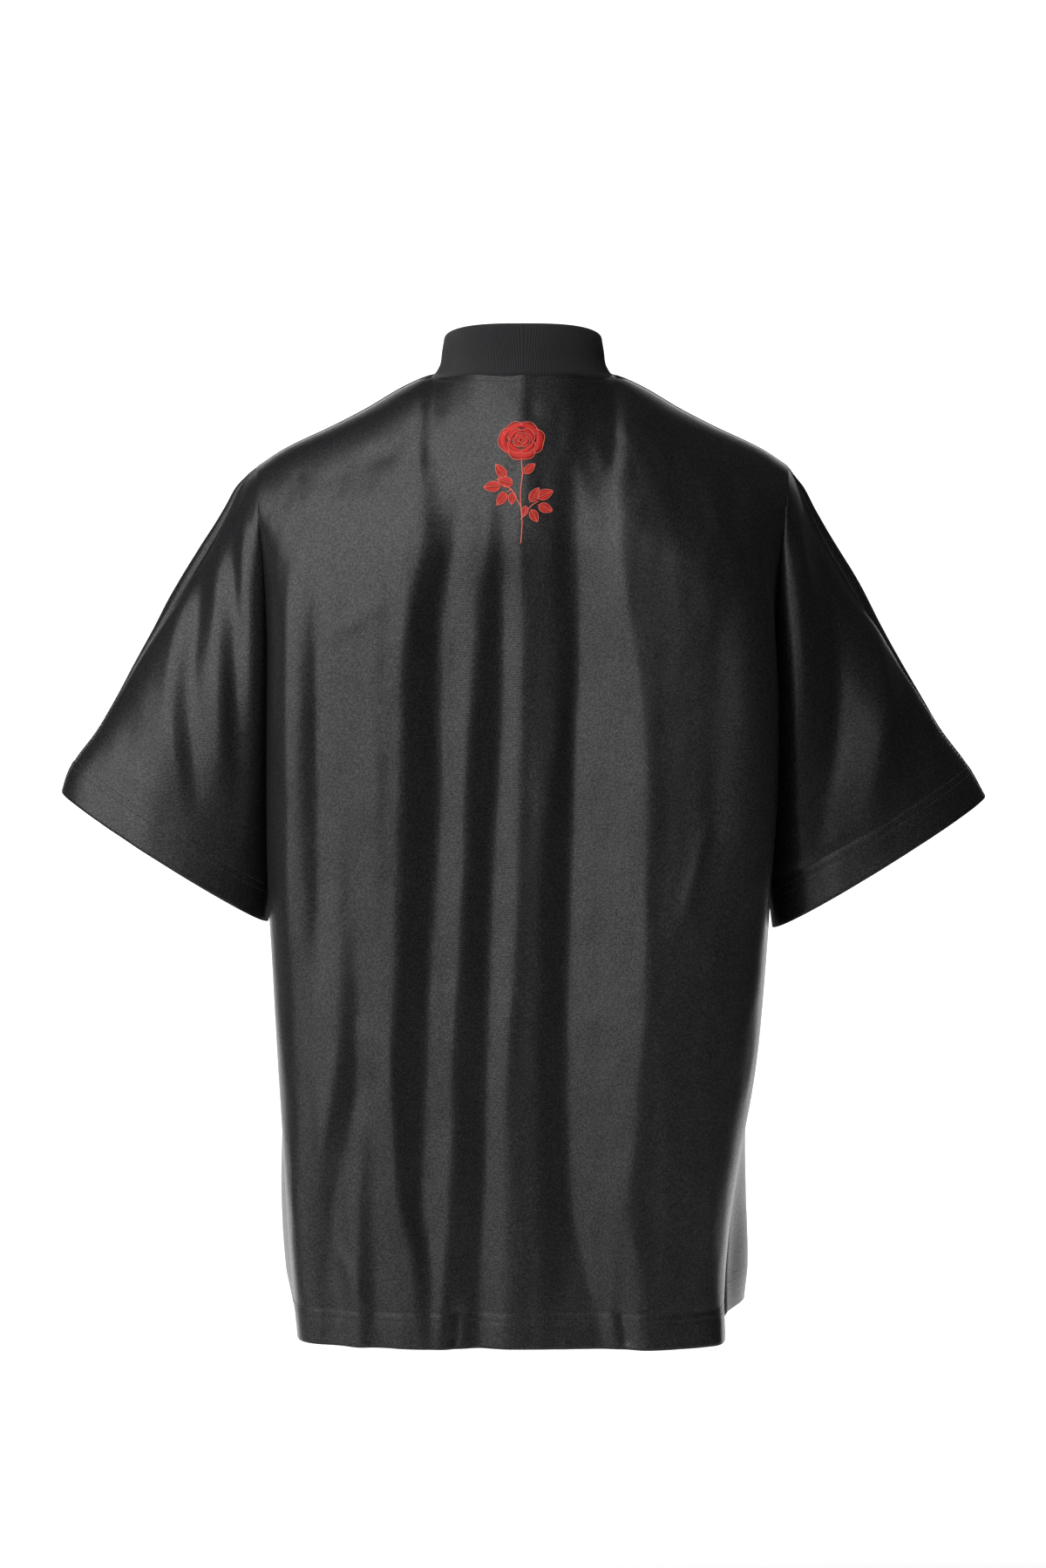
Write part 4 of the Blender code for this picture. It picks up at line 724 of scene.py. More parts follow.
def panel_mesh(name, face):
    """A panel's open surface, with the cloth's own measures as its UV map."""
    side = SIDES[face]
    body = body_grid(face)
    rows, columns = body.shape[:2]
    points = [body.reshape(-1, 3)]
    numbers = [np.arange(rows * columns).reshape(rows, columns)]
    middle = columns // 2
    across = lengths_along(body, 1)
    measure = np.stack([across - across[:, middle:middle + 1], -lengths_along(body, 0)], -1)
    measures = [measure]
    count = rows * columns
    for hand in (1, -1):
        edge = 0 if hand > 0 else columns - 1
        crease = body[:UPPER_ROWS + 1, edge]
        sleeve = sleeve_grid(face, hand, crease)
        number = count + np.arange(sleeve.shape[0] * sleeve.shape[1]).reshape(sleeve.shape[:2])
        count += number.size
        shared = sleeve.shape[1] - 1 if hand > 0 else 0
        number[:UPPER_ROWS + 1, shared] = numbers[0][:UPPER_ROWS + 1, edge]
        number[0] = numbers[0][0, edge]
        points.append(sleeve.reshape(-1, 3))
        numbers.append(number)
        run = lengths_along(sleeve, 1)
        run = run - run[:, shared:shared + 1] if hand > 0 else run
        offset = measure[0, edge]
        measures.append(np.stack([offset[0] + run, -lengths_along(sleeve, 0)], -1))
    faces = []
    corners_uv = []
    for number, measured in zip(numbers, measures):
        quads = np.stack([number[:-1, :-1], number[1:, :-1], number[1:, 1:], number[:-1, 1:]], -1)
        uvs = np.stack([measured[:-1, :-1], measured[1:, :-1], measured[1:, 1:], measured[:-1, 1:]], 2)
        for quad, uv in zip(quads.reshape(-1, 4), uvs.reshape(-1, 4, 2)):
            pairs = [(int(q), u) for q, u in zip(quad, uv)]
            if pairs[0][0] == pairs[3][0]:
                pairs.pop()
            if side < 0:
                pairs.reverse()
            faces.append([q for q, _ in pairs])
            corners_uv.extend(u for _, u in pairs)
    mesh = bpy.data.meshes.new(name)
    mesh.from_pydata(np.concatenate(points).tolist(), [], faces)
    layer = mesh.uv_layers.new(name="cloth")
    layer.data.foreach_set("uv", np.array(corners_uv, dtype=np.float32).ravel())
    remove_loose(mesh)
    return mesh


def remove_loose(mesh):
    """Delete the points that no face uses, left where two grids share an edge."""
    work = bmesh.new()
    work.from_mesh(mesh)
    for vert in [v for v in work.verts if not v.link_faces]:
        work.verts.remove(vert)
    work.to_mesh(mesh)
    work.free()


def panel(name, face, material, cloth):
    """One panel as a thin shell, kept on its own side of the seams' plane."""
    side = SIDES[face]
    mesh = panel_mesh(name, face)
    piece = add_object(name, mesh, material)
    wall = piece.modifiers.new("wall", "SOLIDIFY")
    wall.thickness = cloth.wall
    wall.offset = -1.0
    wall.use_even_offset = False
    mesh = settle(piece)
    places = np.empty(len(mesh.vertices) * 3)
    mesh.vertices.foreach_get("co", places)
    places = places.reshape(-1, 3)
    places[:, 1] = side * np.maximum(side * places[:, 1], GAP / 2)
    mesh.vertices.foreach_set("co", places.ravel())
    mesh.shade_smooth()
    return piece


# ---------------------------------------------------------------- the collar
def collar_sections(angle, height):
    """Sections of the collar at angles round the neck: outer face up, then down the inner one."""
    back = np.cos(angle) > 0
    folded = np.arcsin(np.clip(np.abs(np.sin(angle)), 0, 1))
    base = np.where(back[:, None], neck_line(folded, "back"), neck_line(folded, "front"))
    base[:, 0] *= np.sign(np.sin(angle))
    side = np.where(back, 1, -1)
    level = np.abs(np.cos(angle))
    plan = unit(np.stack([np.sin(angle) / NECK_HALF_WIDTH,
                          np.cos(angle) / np.where(back, NECK_BACK, NECK_FRONT), 0 * angle], -1))
    steep = smooth_step(level / 0.8)
    lean = np.radians(COLLAR_LEAN_SIDE + (COLLAR_LEAN_MIDDLE - COLLAR_LEAN_SIDE) * steep)[:, None]
    up_axis = np.array([0.0, 0.0, 1.0])
    panel_out = plan * np.cos(lean) - up_axis * np.sin(lean)
    panel_up = plan * np.sin(lean) + up_axis * np.cos(lean)
    shape = 2 / COLLAR_TOP_POWER
    top_x = COLLAR_TOP_HALF * np.sign(np.sin(angle)) * np.abs(np.sin(angle)) ** shape
    top_y = np.where(back, COLLAR_TOP_BACK, COLLAR_TOP_FRONT) * side * level ** shape
    top_z = COLLAR_TOP_RISE - COLLAR_TOP_SLOPE * (COLLAR_TOP_BACK - top_y)
    top = np.stack([top_x, top_y, top_z], -1)
    foot = base - panel_out * COLLAR_GAP
    rise = top - foot
    up = unit(rise)
    inward = unit(up * np.sum(plan * up, axis=1, keepdims=True) - plan)
    ups = np.concatenate([np.linspace(0, 0.12, 4), np.linspace(0.2, 1.0, 11)])
    sections = []
    for share in ups:
        tuck = read_table(COLLAR_SECTION, "tuck", share)
        stands = read_table(COLLAR_SECTION, "rib", share)
        out = (height * stands)[:, None]
        sections.append(foot + rise * share - panel_out * tuck - inward * out)
    for turn in (0.25, 0.5, 0.75):
        lift = math.sin(math.pi * turn)
        shift = (1 - math.cos(math.pi * turn)) / 2
        stands = (height * 0.4 * (1 - turn))[:, None]
        sections.append(top + up * (COLLAR_FOLD_RISE * lift + stands) + inward * COLLAR_WALL * shift)
    for share in ups[::-1][:-4]:
        tuck = read_table(COLLAR_SECTION, "tuck", share)
        out = (height * 0.6)[:, None]
        sections.append(foot + rise * share - panel_out * tuck + inward * (COLLAR_WALL + out))
    sections.append(foot - panel_up * COLLAR_WALL - panel_out * 0.0006)
    return np.stack(sections, 1)


def collar(name, material, rib):
    """The rib ring, with every rib of the knit raised."""
    columns = rib.ribs * RIB_STEPS
    angle = 2 * math.pi * (np.arange(columns) + 0.5) / columns
    phase = 2 * math.pi * np.arange(columns) / RIB_STEPS
    height = rib.height * (0.5 + 0.5 * np.cos(phase)) ** 0.7
    grid = collar_sections(angle, height)
    count = grid.shape[1]
    number = np.arange(columns * count).reshape(columns, count)
    after = np.roll(number, -1, axis=0)
    beyond = np.roll(number, -1, axis=1)
    both = np.roll(after, -1, axis=1)
    quads = np.stack([number, beyond, both, after], -1).reshape(-1, 4)
    mesh = bpy.data.meshes.new(name)
    mesh.from_pydata(grid.reshape(-1, 3).tolist(), [], quads.tolist())
    around = np.broadcast_to((np.arange(columns + 1) / RIB_STEPS)[:, None], (columns + 1, count + 1))
    down = np.concatenate([[0.0], np.cumsum(np.linalg.norm(np.diff(grid[0], axis=0), axis=-1)), [0.14]])
    down = np.broadcast_to(down, (columns + 1, count + 1))
    uv = np.stack([around * WALE, down], -1)
    corners = np.stack([uv[:-1, :-1], uv[:-1, 1:], uv[1:, 1:], uv[1:, :-1]], 2)
    layer = mesh.uv_layers.new(name="cloth")
    layer.data.foreach_set("uv", corners.astype(np.float32).ravel())
    flip_outward(mesh)
    mesh.shade_smooth()
    return add_object(name, mesh, material)


def flip_outward(mesh):
    """Turn a closed mesh's faces outward."""
    work = bmesh.new()
    work.from_mesh(mesh)
    bmesh.ops.recalc_face_normals(work, faces=work.faces)
    work.to_mesh(mesh)
    work.free()


# ---------------------------------------------------------------- stitching
def line_at(grid, distance, from_end=False):
    """The points at one arc length down a grid's columns, from its first row or its last."""
    rows = grid[::-1] if from_end else grid
    lengths = lengths_along(rows, 0)
    found = []
    for column in range(grid.shape[1]):
        run = lengths[:, column]
        found.append([np.interp(distance, run, rows[:, column, axis]) for axis in range(3)])
    return np.array(found)


def stitch_rows(line, length, pitch):
    """Start and end points of stitches laid end to end along a line."""
    run = lengths_along(line[:, None], 0)[:, 0]
    starts = np.arange(pitch / 2, run[-1] - length, pitch)
    places = [np.stack([np.interp(starts + d, run, line[:, axis]) for axis in range(3)], -1)
              for d in (0.0, length / 2, length)]
    return np.stack(places, 1)


def thread_mesh(name, strands, normals, radius, lift):
    """Short threads as closed tapered tubes; strands is [n, m, 3] and normals [n, 3]."""
    count, steps = strands.shape[:2]
    across = unit(np.cross(normals, unit(strands[:, -1] - strands[:, 0])))
    share = np.linspace(0, 1, steps)
    swell = np.clip(np.sin(math.pi * (0.08 + 0.84 * share)), 0, 1) ** 0.5
    bow = np.sin(math.pi * share)
    turn = 2 * math.pi * np.arange(THREAD_SIDES) / THREAD_SIDES
    centre = strands + normals[:, None] * (lift * bow)[None, :, None]
    circle = (across[:, None, None] * np.cos(turn)[None, None, :, None]
              + normals[:, None, None] * (0.7 * np.sin(turn))[None, None, :, None])
    points = centre[:, :, None] + circle * (radius * swell)[None, :, None, None]
    number = np.arange(count * steps * THREAD_SIDES).reshape(count, steps, THREAD_SIDES)
    after = np.roll(number, -1, axis=2)
    quads = np.stack([number[:, :-1], after[:, :-1], after[:, 1:], number[:, 1:]], -1).reshape(-1, 4)
    faces = quads.tolist()
    faces += number[:, 0, ::-1].tolist() + number[:, -1].tolist()
    mesh = bpy.data.meshes.new(name)
    mesh.from_pydata(points.reshape(-1, 3).tolist(), [], faces)
    mesh.shade_smooth()
    return mesh


def tree_of(piece):
    """A piece's faces, ready for searches."""
    mesh = piece.data
    return BVHTree.FromPolygons([v.co for v in mesh.vertices], [f.vertices for f in mesh.polygons])


def stitches(name, face, cloth_piece, material, thread):
    """Twin rows of stitches in the hems, and single ones along the neck and the overarm seams."""
    tree = tree_of(cloth_piece)
    body = body_grid(face)
    lines = [line_at(body, above, True) for above in HEM_STITCH_LINES]
    middle = body.shape[1] // 2
    neck = body[:, middle - NECK_COLUMNS:middle + NECK_COLUMNS + 1]
    lines.append(line_at(neck, thread.neck_line))
    for hand in (1, -1):
        edge = 0 if hand > 0 else -1
        sleeve = sleeve_grid(face, hand, body[:UPPER_ROWS + 1, edge])
        lines += [line_at(sleeve, above, True) for above in HEM_STITCH_LINES]
        seam = sleeve[1:] if hand > 0 else sleeve[1:, ::-1]
        lines.append(line_at(np.swapaxes(seam, 0, 1), thread.seam_line))
    strands = np.concatenate([stitch_rows(line, thread.length, thread.pitch) for line in lines])
    normals = np.array([tree.find_nearest(Vector(place))[1] for place in strands[:, 1]])
    normals[normals[:, 1] * strands[:, 1, 1] < 0] *= -1      # those found on the shell's inner face
    mesh = thread_mesh(name, strands, normals, thread.radius, thread.radius * 0.5)
    return add_object(name, mesh, material)


# ---------------------------------------------------------------- the rose
class Leaf(NamedTuple):
    """A leaf of the embroidery: its root, the way it points, and its size."""
    x: float                 # from the stem's top, to the wearer's left
    down: float              # below the bloom's middle
    turn: float              # degrees from straight up, towards the wearer's left
    length: float
    width: float


class Petal(NamedTuple):
    """A petal of the bloom: a crescent between two arcs round a middle of its own."""
    turn: float              # degrees of its middle, from straight up to the wearer's left
    spread: float            # degrees from its middle to each end
    inner: float             # radius of its inner edge
    outer: float
    shift: float             # of its arcs' centre away from the bloom's middle


LEAVES = (
    Leaf(0.0068, 0.0330, 74.0, 0.0130, 0.0078),
    Leaf(0.0125, 0.0285, 38.0, 0.0125, 0.0074),
    Leaf(0.0165, 0.0345, 96.0, 0.0135, 0.0078),
    Leaf(0.0120, 0.0395, 142.0, 0.0120, 0.0072),
    Leaf(0.0065, 0.0390, 172.0, 0.0095, 0.0060),
    Leaf(-0.0022, 0.0245, -52.0, 0.0110, 0.0062),
    Leaf(-0.0070, 0.0460, -34.0, 0.0125, 0.0074),
    Leaf(-0.0125, 0.0430, -70.0, 0.0135, 0.0078),
    Leaf(-0.0135, 0.0490, -112.0, 0.0120, 0.0072),
    Leaf(-0.0075, 0.0525, -150.0, 0.0105, 0.0066),
    Leaf(-0.0035, 0.0495, 168.0, 0.0080, 0.0052),
)

TWIGS = (
    ((0.0, 0.014), (-0.0008, 0.026), (0.0006, 0.038), (0.0002, 0.050), (-0.0006, 0.062), (0.0004, 0.078)),
    ((0.0002, 0.050), (0.0042, 0.0430), (0.0080, 0.0370), (0.0140, 0.0340)),
    ((0.0080, 0.0370), (0.0105, 0.0385)),
    ((0.0000, 0.059), (-0.0035, 0.0540), (-0.0080, 0.0490), (-0.0130, 0.0460)),
)

PETAL_SLANT = 0.10           # turn of a petal's stitches from straight outwards, in radians
RIM_STEP = 0.0014            # length of a stitch in the outlines
STEM_STEP = 0.0016           # the same in the stem and the veins
PETALS = (
    Petal(-95.0, 48.0, 0.0105, 0.0172, 0.0010),
    Petal(95.0, 48.0, 0.0105, 0.0170, 0.0010),
    Petal(180.0, 52.0, 0.0095, 0.0168, 0.0008),
    Petal(-30.0, 40.0, 0.0095, 0.0160, 0.0006),
    Petal(35.0, 40.0, 0.0095, 0.0158, 0.0006),
    Petal(140.0, 46.0, 0.0065, 0.0118, 0.0006),
    Petal(-140.0, 46.0, 0.0065, 0.0116, 0.0006),
    Petal(-50.0, 48.0, 0.0060, 0.0108, 0.0004),
    Petal(48.0, 48.0, 0.0060, 0.0106, 0.0004),
    Petal(0.0, 60.0, 0.0028, 0.0066, 0.0),
    Petal(120.0, 62.0, 0.0028, 0.0068, 0.0),
    Petal(-120.0, 62.0, 0.0028, 0.0067, 0.0),
    Petal(60.0, 90.0, 0.0004, 0.0030, 0.0),
    Petal(-120.0, 90.0, 0.0004, 0.0031, 0.0),
)


def petal_arc(petal, turns, radius, squash):
    """Points round a petal's own centre, at turns from its middle."""
    middle = math.radians(petal.turn)
    centre = petal.shift * np.array([math.sin(middle), -math.cos(middle)])
    angle = middle + turns
    return centre + np.stack([radius * np.sin(angle), -radius * np.cos(angle) * squash], -1)


def petal_edge(petal, turns):
    """Radius of a petal's outer edge, drawn in towards its ends."""
    ends = (turns / math.radians(petal.spread)) ** 2
    return petal.outer - (petal.outer - petal.inner) * 0.45 * ends ** 2


def petal_threads(petal, squash, spacing):
    """Stitches from the inner edge of a petal to its outer one."""
    reach = math.radians(petal.spread)
    count = max(4, int(2 * reach * (petal.outer + petal.inner) / 2 / spacing))
    turns = np.linspace(-reach, reach, count)
    inner = petal.inner + (petal.outer - petal.inner) * 0.30 * (turns / reach) ** 2
    start = petal_arc(petal, turns - PETAL_SLANT, inner, squash)
    end = petal_arc(petal, turns + PETAL_SLANT, petal_edge(petal, turns), squash)
    return np.stack([start, end], 1)


def petal_rim(petal, squash):
    """The line along a petal's outer edge, a little wavy."""
    turns = math.radians(petal.spread) * np.linspace(-1, 1, 15)
    radius = petal_edge(petal, turns) * (1 + 0.03 * np.sin(turns * 7 + petal.turn))
    return petal_arc(petal, turns, radius, squash)


def leaf_threads(leaf, spacing):
    """Slanted stitches from a leaf's vein to both of its edges."""
    turn = math.radians(leaf.turn)
    way = np.array([math.sin(turn), -math.cos(turn)])
    across = np.array([way[1], -way[0]])
    count = max(6, int(leaf.length / spacing))
    share = np.linspace(0.04, 0.96, count)
    root = np.array([leaf.x, leaf.down])
    vein = root + way * leaf.length * share[:, None]
    half = leaf.width / 2 * np.sin(math.pi * share ** 0.8) ** 0.8
    tip = np.minimum(share + 0.13, 1.0)
    half_tip = leaf.width / 2 * np.sin(math.pi * tip ** 0.8).clip(0) ** 0.8
    threads = []
    for sign in (1, -1):
        out = sign * across * np.maximum(half_tip, half * 0.35)[:, None]
        edge = root + way * leaf.length * tip[:, None] + out
        threads.append(np.stack([vein + sign * across * 0.0002, edge], 1))
    rims = [vein + sign * across * half[:, None] for sign in (1, -1)]
    return np.concatenate(threads), rims, np.stack([root, root + way * leaf.length * 0.97])


def lay_on_cloth(tree, flat, origin):
    """Places and normals on the back panel for flat points (to the left, down) of the design."""
    places = []
    normals = []
    for across, down in flat.reshape(-1, 2):
        start = Vector((origin[0] + across, 1.0, -(origin[1] + down)))
        place, normal, _, _ = tree.ray_cast(start, Vector((0, -1, 0)))
        places.append(place)
        normals.append(normal)
    shape = (*flat.shape[:-1], 3)
    return np.array(places).reshape(shape), np.array(normals).reshape(shape)


def resample(line, step):
    """Points at even steps along a flat line, rounded through its own points."""
    line = np.asarray(line, float)
    run = np.concatenate([[0.0], np.cumsum(np.linalg.norm(np.diff(line, axis=0), axis=1))])
    at = np.linspace(0, run[-1], max(2, int(run[-1] / step) + 1))
    return np.stack([smooth_curve(run, line[:, axis], at) for axis in (0, 1)], -1)


def embroidery(name, flat_threads, tree, origin, material, radius, lift):
    """Lay flat stitches on the cloth and make them one piece."""
    share = np.linspace(0, 1, THREAD_STEPS)[None, :, None]
    flat = flat_threads[:, :1] + (flat_threads[:, 1:] - flat_threads[:, :1]) * share
    places, normals = lay_on_cloth(tree, flat, origin)
    middle = normals[:, THREAD_STEPS // 2]
    add_object(name, thread_mesh(name, places + normals * radius * 0.4, middle, radius, lift), material)


def chain_of(line, step, slant):
    """Short overlapping stitches that follow a line, as in a stem stitch."""
    points = resample(line, step)
    way = unit(np.diff(points, axis=0))
    across = np.stack([way[:, 1], -way[:, 0]], -1)
    start = points[:-1] - way * step * 0.6 - across * slant
    end = points[1:] + way * step * 0.6 + across * slant
    return np.stack([start, end], 1)


# ---------------------------------------------------------------- materials
class Socket:
    """Wraps a value socket, so that shader sums read as Python expressions."""

    def __init__(self, tree, link):
        self.tree = tree
        self.link = link

    def _math(self, operation, first, second):
        node = self.tree.nodes.new("ShaderNodeMath")
        node.operation = operation
        for index, value in enumerate((first, second)):
            if isinstance(value, Socket):
                self.tree.links.new(value.link, node.inputs[index])
            else:
                node.inputs[index].default_value = value
        return Socket(self.tree, node.outputs[0])

    def __add__(self, other):
        return self._math("ADD", self, other)

    def __radd__(self, other):
        return self._math("ADD", other, self)

    def __sub__(self, other):
        return self._math("SUBTRACT", self, other)

    def __mul__(self, other):
        return self._math("MULTIPLY", self, other)

    def wave(self):
        """The sine of this value."""
        return self._math("SINE", self, 0.0)


class Finish:
    """A material being built, with one method for every other node."""

    def __init__(self, name):
        self.material = bpy.data.materials.new(name)
        self.material.use_nodes = True
        self.tree = self.material.node_tree
        self.shader = self.tree.nodes["Principled BSDF"]

    def node(self, kind, settings=(), inputs=(), output=0):
        """Add a node, set it up, feed its sockets, and give one of its outputs."""
        node = self.tree.nodes.new(kind)
        for key, value in dict(settings).items():
            setattr(node, key, value)
        for key, value in dict(inputs).items():
            self.feed(node.inputs[key], value)
        return Socket(self.tree, node.outputs[output])

    def feed(self, socket, value):
        """Link or set a socket."""
        if isinstance(value, Socket):
            self.tree.links.new(value.link, socket)
        else:
            socket.default_value = value

    def mix(self, share, first, second):
        """A colour between two others."""
        return self.node("ShaderNodeMix", {"data_type": "RGBA"}, {0: share, 6: first, 7: second}, 2)

    def grains(self, scale, detail, roughness=0.5):
        """Noise through the object's own space, with `scale` grains to a metre."""
        place = self.node("ShaderNodeTexCoord", output=3)
        fed = {"Vector": place, "Scale": scale, "Detail": detail, "Roughness": roughness}
        return self.node("ShaderNodeTexNoise", {}, fed)

    def part_of(self, vector, axis):
        """One of a vector's three parts."""
        return self.node("ShaderNodeSeparateXYZ", {}, {0: vector}, axis)

    def raise_by(self, height, strength):
        """Tilt the surface as a height in metres would."""
        fed = {"Height": height, "Distance": 1.0, "Strength": strength}
        self.set(Normal=self.node("ShaderNodeBump", {}, fed))

    def set(self, **values):
        """Set or link the shader's sockets."""
        for key, value in values.items():
            self.feed(self.shader.inputs[key.replace("_", " ")], value)


def satin_knit(settings):
    """Shiny warp knit: fine lines across the cloth, a sparkling grain partly painted as glints, and uneven
    gloss.
    """
    finish = Finish("satin_cloth")
    down = finish.part_of(finish.node("ShaderNodeUVMap", {"uv_map": "cloth"}), 1)
    line = (down * (2 * math.pi / settings.line_pitch) + finish.grains(160.0, 2.0) * 2.5).wave()
    grain = finish.grains(settings.grain_scale, 2.0, 0.6)
    bead = finish.grains(settings.grain_scale, 0.0)
    cloud = finish.grains(22.0, 2.0)
    deep = (*settings.colour, 1.0)
    # The paler grains mixed into the base colour are painted glints of the satin yarn.
    pale = (*[min(1.0, part * settings.painted_glint) for part in settings.colour], 1.0)
    finish.set(Base_Color=finish.mix((grain - 0.38) * 2.2, deep, pale))
    finish.set(Roughness=settings.roughness + (cloud - 0.5) * 0.05 + (grain - 0.5) * 0.16)
    finish.set(Coat_Weight=(grain - 0.5) * settings.glitter + line * 0.10 + 0.35)
    finish.set(Coat_Roughness=settings.roughness, Specular_IOR_Level=settings.gloss)
    finish.raise_by(line * settings.line_height + bead * settings.grain_height, 1.0)
    return finish.material


def rib_knit(settings):
    """Dull rib: small stitches up each wale, and a soft nap."""
    finish = Finish("rib_cloth")
    cloth = finish.node("ShaderNodeUVMap", {"uv_map": "cloth"})
    stitch = (finish.part_of(cloth, 1) * (2 * math.pi / settings.stitch_height)).wave()
    wale = (finish.part_of(cloth, 0) * (2 * math.pi / WALE)).wave()
    fluff = finish.grains(1500.0, 2.0)
    cloud = finish.grains(60.0, 2.0)
    deep = (*settings.colour, 1.0)
    pale = (*[part * 2.2 for part in settings.colour], 1.0)
    finish.set(Base_Color=finish.mix(fluff * 0.6 + cloud * 0.3, deep, pale))
    finish.set(Roughness=0.82 + (cloud - 0.5) * 0.1)
    finish.set(Sheen_Weight=0.35, Sheen_Roughness=0.5, Specular_IOR_Level=0.3)
    finish.raise_by(stitch * (wale * 0.5 + 0.5) * 0.00006 + fluff * 0.00010, 0.8)
    return finish.material


def thread_finish(name, colour, brighter, roughness):
    """Sewing or embroidery thread: a smooth yarn with a fine twist."""
    finish = Finish(name)
    twist = finish.grains(2600.0, 1.0)
    cloud = finish.grains(420.0, 1.0)
    second = [min(1.0, part * brighter) for part in colour]
    finish.set(Base_Color=finish.mix((cloud - 0.3) * 2.0, (*colour, 1.0), (*second, 1.0)))
    finish.set(Roughness=roughness + (twist - 0.5) * 0.15)
    finish.set(Sheen_Weight=0.2, Specular_IOR_Level=0.5)
    finish.raise_by(twist * 0.00008, 0.6)
    return finish.material


def paper(name, colour, glow):
    """The stage's matt paper, lit a little from within beyond the garment, and clear from behind."""
    finish = Finish(name)
    darker = tuple(part * 0.985 for part in colour)
    finish.set(Base_Color=finish.mix(finish.grains(0.7, 1.0), (*colour, 1.0), (*darker, 1.0)))
    finish.set(Roughness=0.9, Specular_IOR_Level=0.1)
    depth = finish.part_of(finish.node("ShaderNodeTexCoord", output=3), 1)
    fed = {"Value": depth, "From Min": -0.3, "From Max": -1.15}
    beyond = finish.node("ShaderNodeMapRange", {}, fed)
    lit = finish.mix(beyond, (0.0, 0.0, 0.0, 1.0), (1.0, 1.0, 1.0, 1.0))
    finish.set(Emission_Color=lit, Emission_Strength=glow)
    behind = finish.node("ShaderNodeNewGeometry", output=6)
    clear = finish.node("ShaderNodeBsdfTransparent")
    paint = Socket(finish.tree, finish.shader.outputs[0])
    seen = finish.node("ShaderNodeMixShader", {}, {0: behind, 1: paint, 2: clear})
    finish.feed(finish.tree.nodes["Material Output"].inputs["Surface"], seen)
    return finish.material


# ---------------------------------------------------------------- the stage
def sweep(settings):
    """A pale floor that curves up into a wall behind the garment."""
    floor = settings.floor_level
    near = 1.2
    wall = -settings.wall_distance
    bend = 1.6
    rise = 2.2
    half = 1.6
    profile = [(near, floor), (-1.0, floor), (wall + bend, floor)]
    for step in range(1, 13):
        turn = math.pi / 2 * step / 12
        profile.append((wall + bend - bend * math.sin(turn), floor + bend * (1 - math.cos(turn))))
    profile.append((wall, floor + rise))
    points = [(side * half, y, z) for y, z in profile for side in (-1, 1)]
    faces = [(2 * i + 1, 2 * i, 2 * i + 2, 2 * i + 3) for i in range(len(profile) - 1)]
    mesh = bpy.data.meshes.new("studio_sweep")
    mesh.from_pydata(points, [], faces)
    mesh.shade_smooth()
    mesh.materials.append(paper("pale_paper", settings.floor_colour, settings.glow))
    stage = bpy.data.objects.new("studio_sweep", mesh)
    bpy.context.scene.collection.objects.link(stage)


def area_light(name, place, aim, size, power):
    """A rectangular soft light at `place`, aimed at `aim`."""
    data = bpy.data.lights.new(name, "AREA")
    data.shape = "RECTANGLE"
    data.size, data.size_y = size
    data.energy = power
    light = bpy.data.objects.new(name, data)
    light.location = place
    light.rotation_euler = (Vector(aim) - Vector(place)).to_track_quat("-Z", "Y").to_euler()
    bpy.context.scene.collection.objects.link(light)


def camera(settings):
    """The camera, level with the photograph's: behind the garment and a little above it."""
    data = bpy.data.cameras.new("camera")
    data.sensor_fit = "VERTICAL"
    data.sensor_height = 36.0
    data.lens = 36.0 * settings.camera_distance / settings.view_height
    aim = Vector((0.0, 0.05, settings.aim_height))
    rise = settings.camera_rise
    back = Vector((0.0, math.cos(rise), math.sin(rise)))
    holder = bpy.data.objects.new("camera", data)
    holder.location = aim + back * settings.camera_distance
    holder.rotation_euler = (-back).to_track_quat("-Z", "Y").to_euler()
    bpy.context.scene.collection.objects.link(holder)
    bpy.context.scene.camera = holder


# ---------------------------------------------------------------- settings
class ClothSettings(bpy.types.PropertyGroup):
    """Sizes and colours of the satin knit."""
    wall: FloatProperty(name="Wall", description="Thickness of the cloth", default=0.0012, unit="LENGTH")
    colour: FloatVectorProperty(name="Colour", description="Colour of the yarn", subtype="COLOR",
                                size=3, default=(0.0080, 0.0080, 0.0090))
    # The paler grains that this sets are painted glints in the cloth's base colour.
    painted_glint: FloatProperty(name="Sparkle", description="How much paler the brightest grains are", default=3.0)
    roughness: FloatProperty(name="Roughness", description="Roughness of the satin face", default=0.38)
    gloss: FloatProperty(name="Gloss", description="Strength of the satin's reflections", default=0.45)
    glitter: FloatProperty(name="Glitter", description="How far the gloss varies from grain to grain",
                           default=3.0)
    line_pitch: FloatProperty(name="Line Pitch", description="Distance between the knit's cross lines",
                              default=0.0019, unit="LENGTH")
    line_height: FloatProperty(name="Line Height", description="Height of those lines",
                               default=0.000022, unit="LENGTH")
    grain_scale: FloatProperty(name="Grain Scale", description="Grains to a metre", default=700.0)
    grain_height: FloatProperty(name="Grain Height", description="Height of the grains",
                                default=0.00007, unit="LENGTH")


class RibSettings(bpy.types.PropertyGroup):
    """Sizes and colours of the collar's rib."""
    ribs: IntProperty(name="Ribs", description="Number of wales round the collar", default=240)
    height: FloatProperty(name="Rib Height", description="Height of a wale", default=0.0004, unit="LENGTH")
    stitch_height: FloatProperty(name="Stitch Height", description="Height of one knit stitch",
                                 default=0.0011, unit="LENGTH")
    colour: FloatVectorProperty(name="Colour", description="Colour of the yarn", subtype="COLOR",
                                size=3, default=(0.013, 0.013, 0.0145))


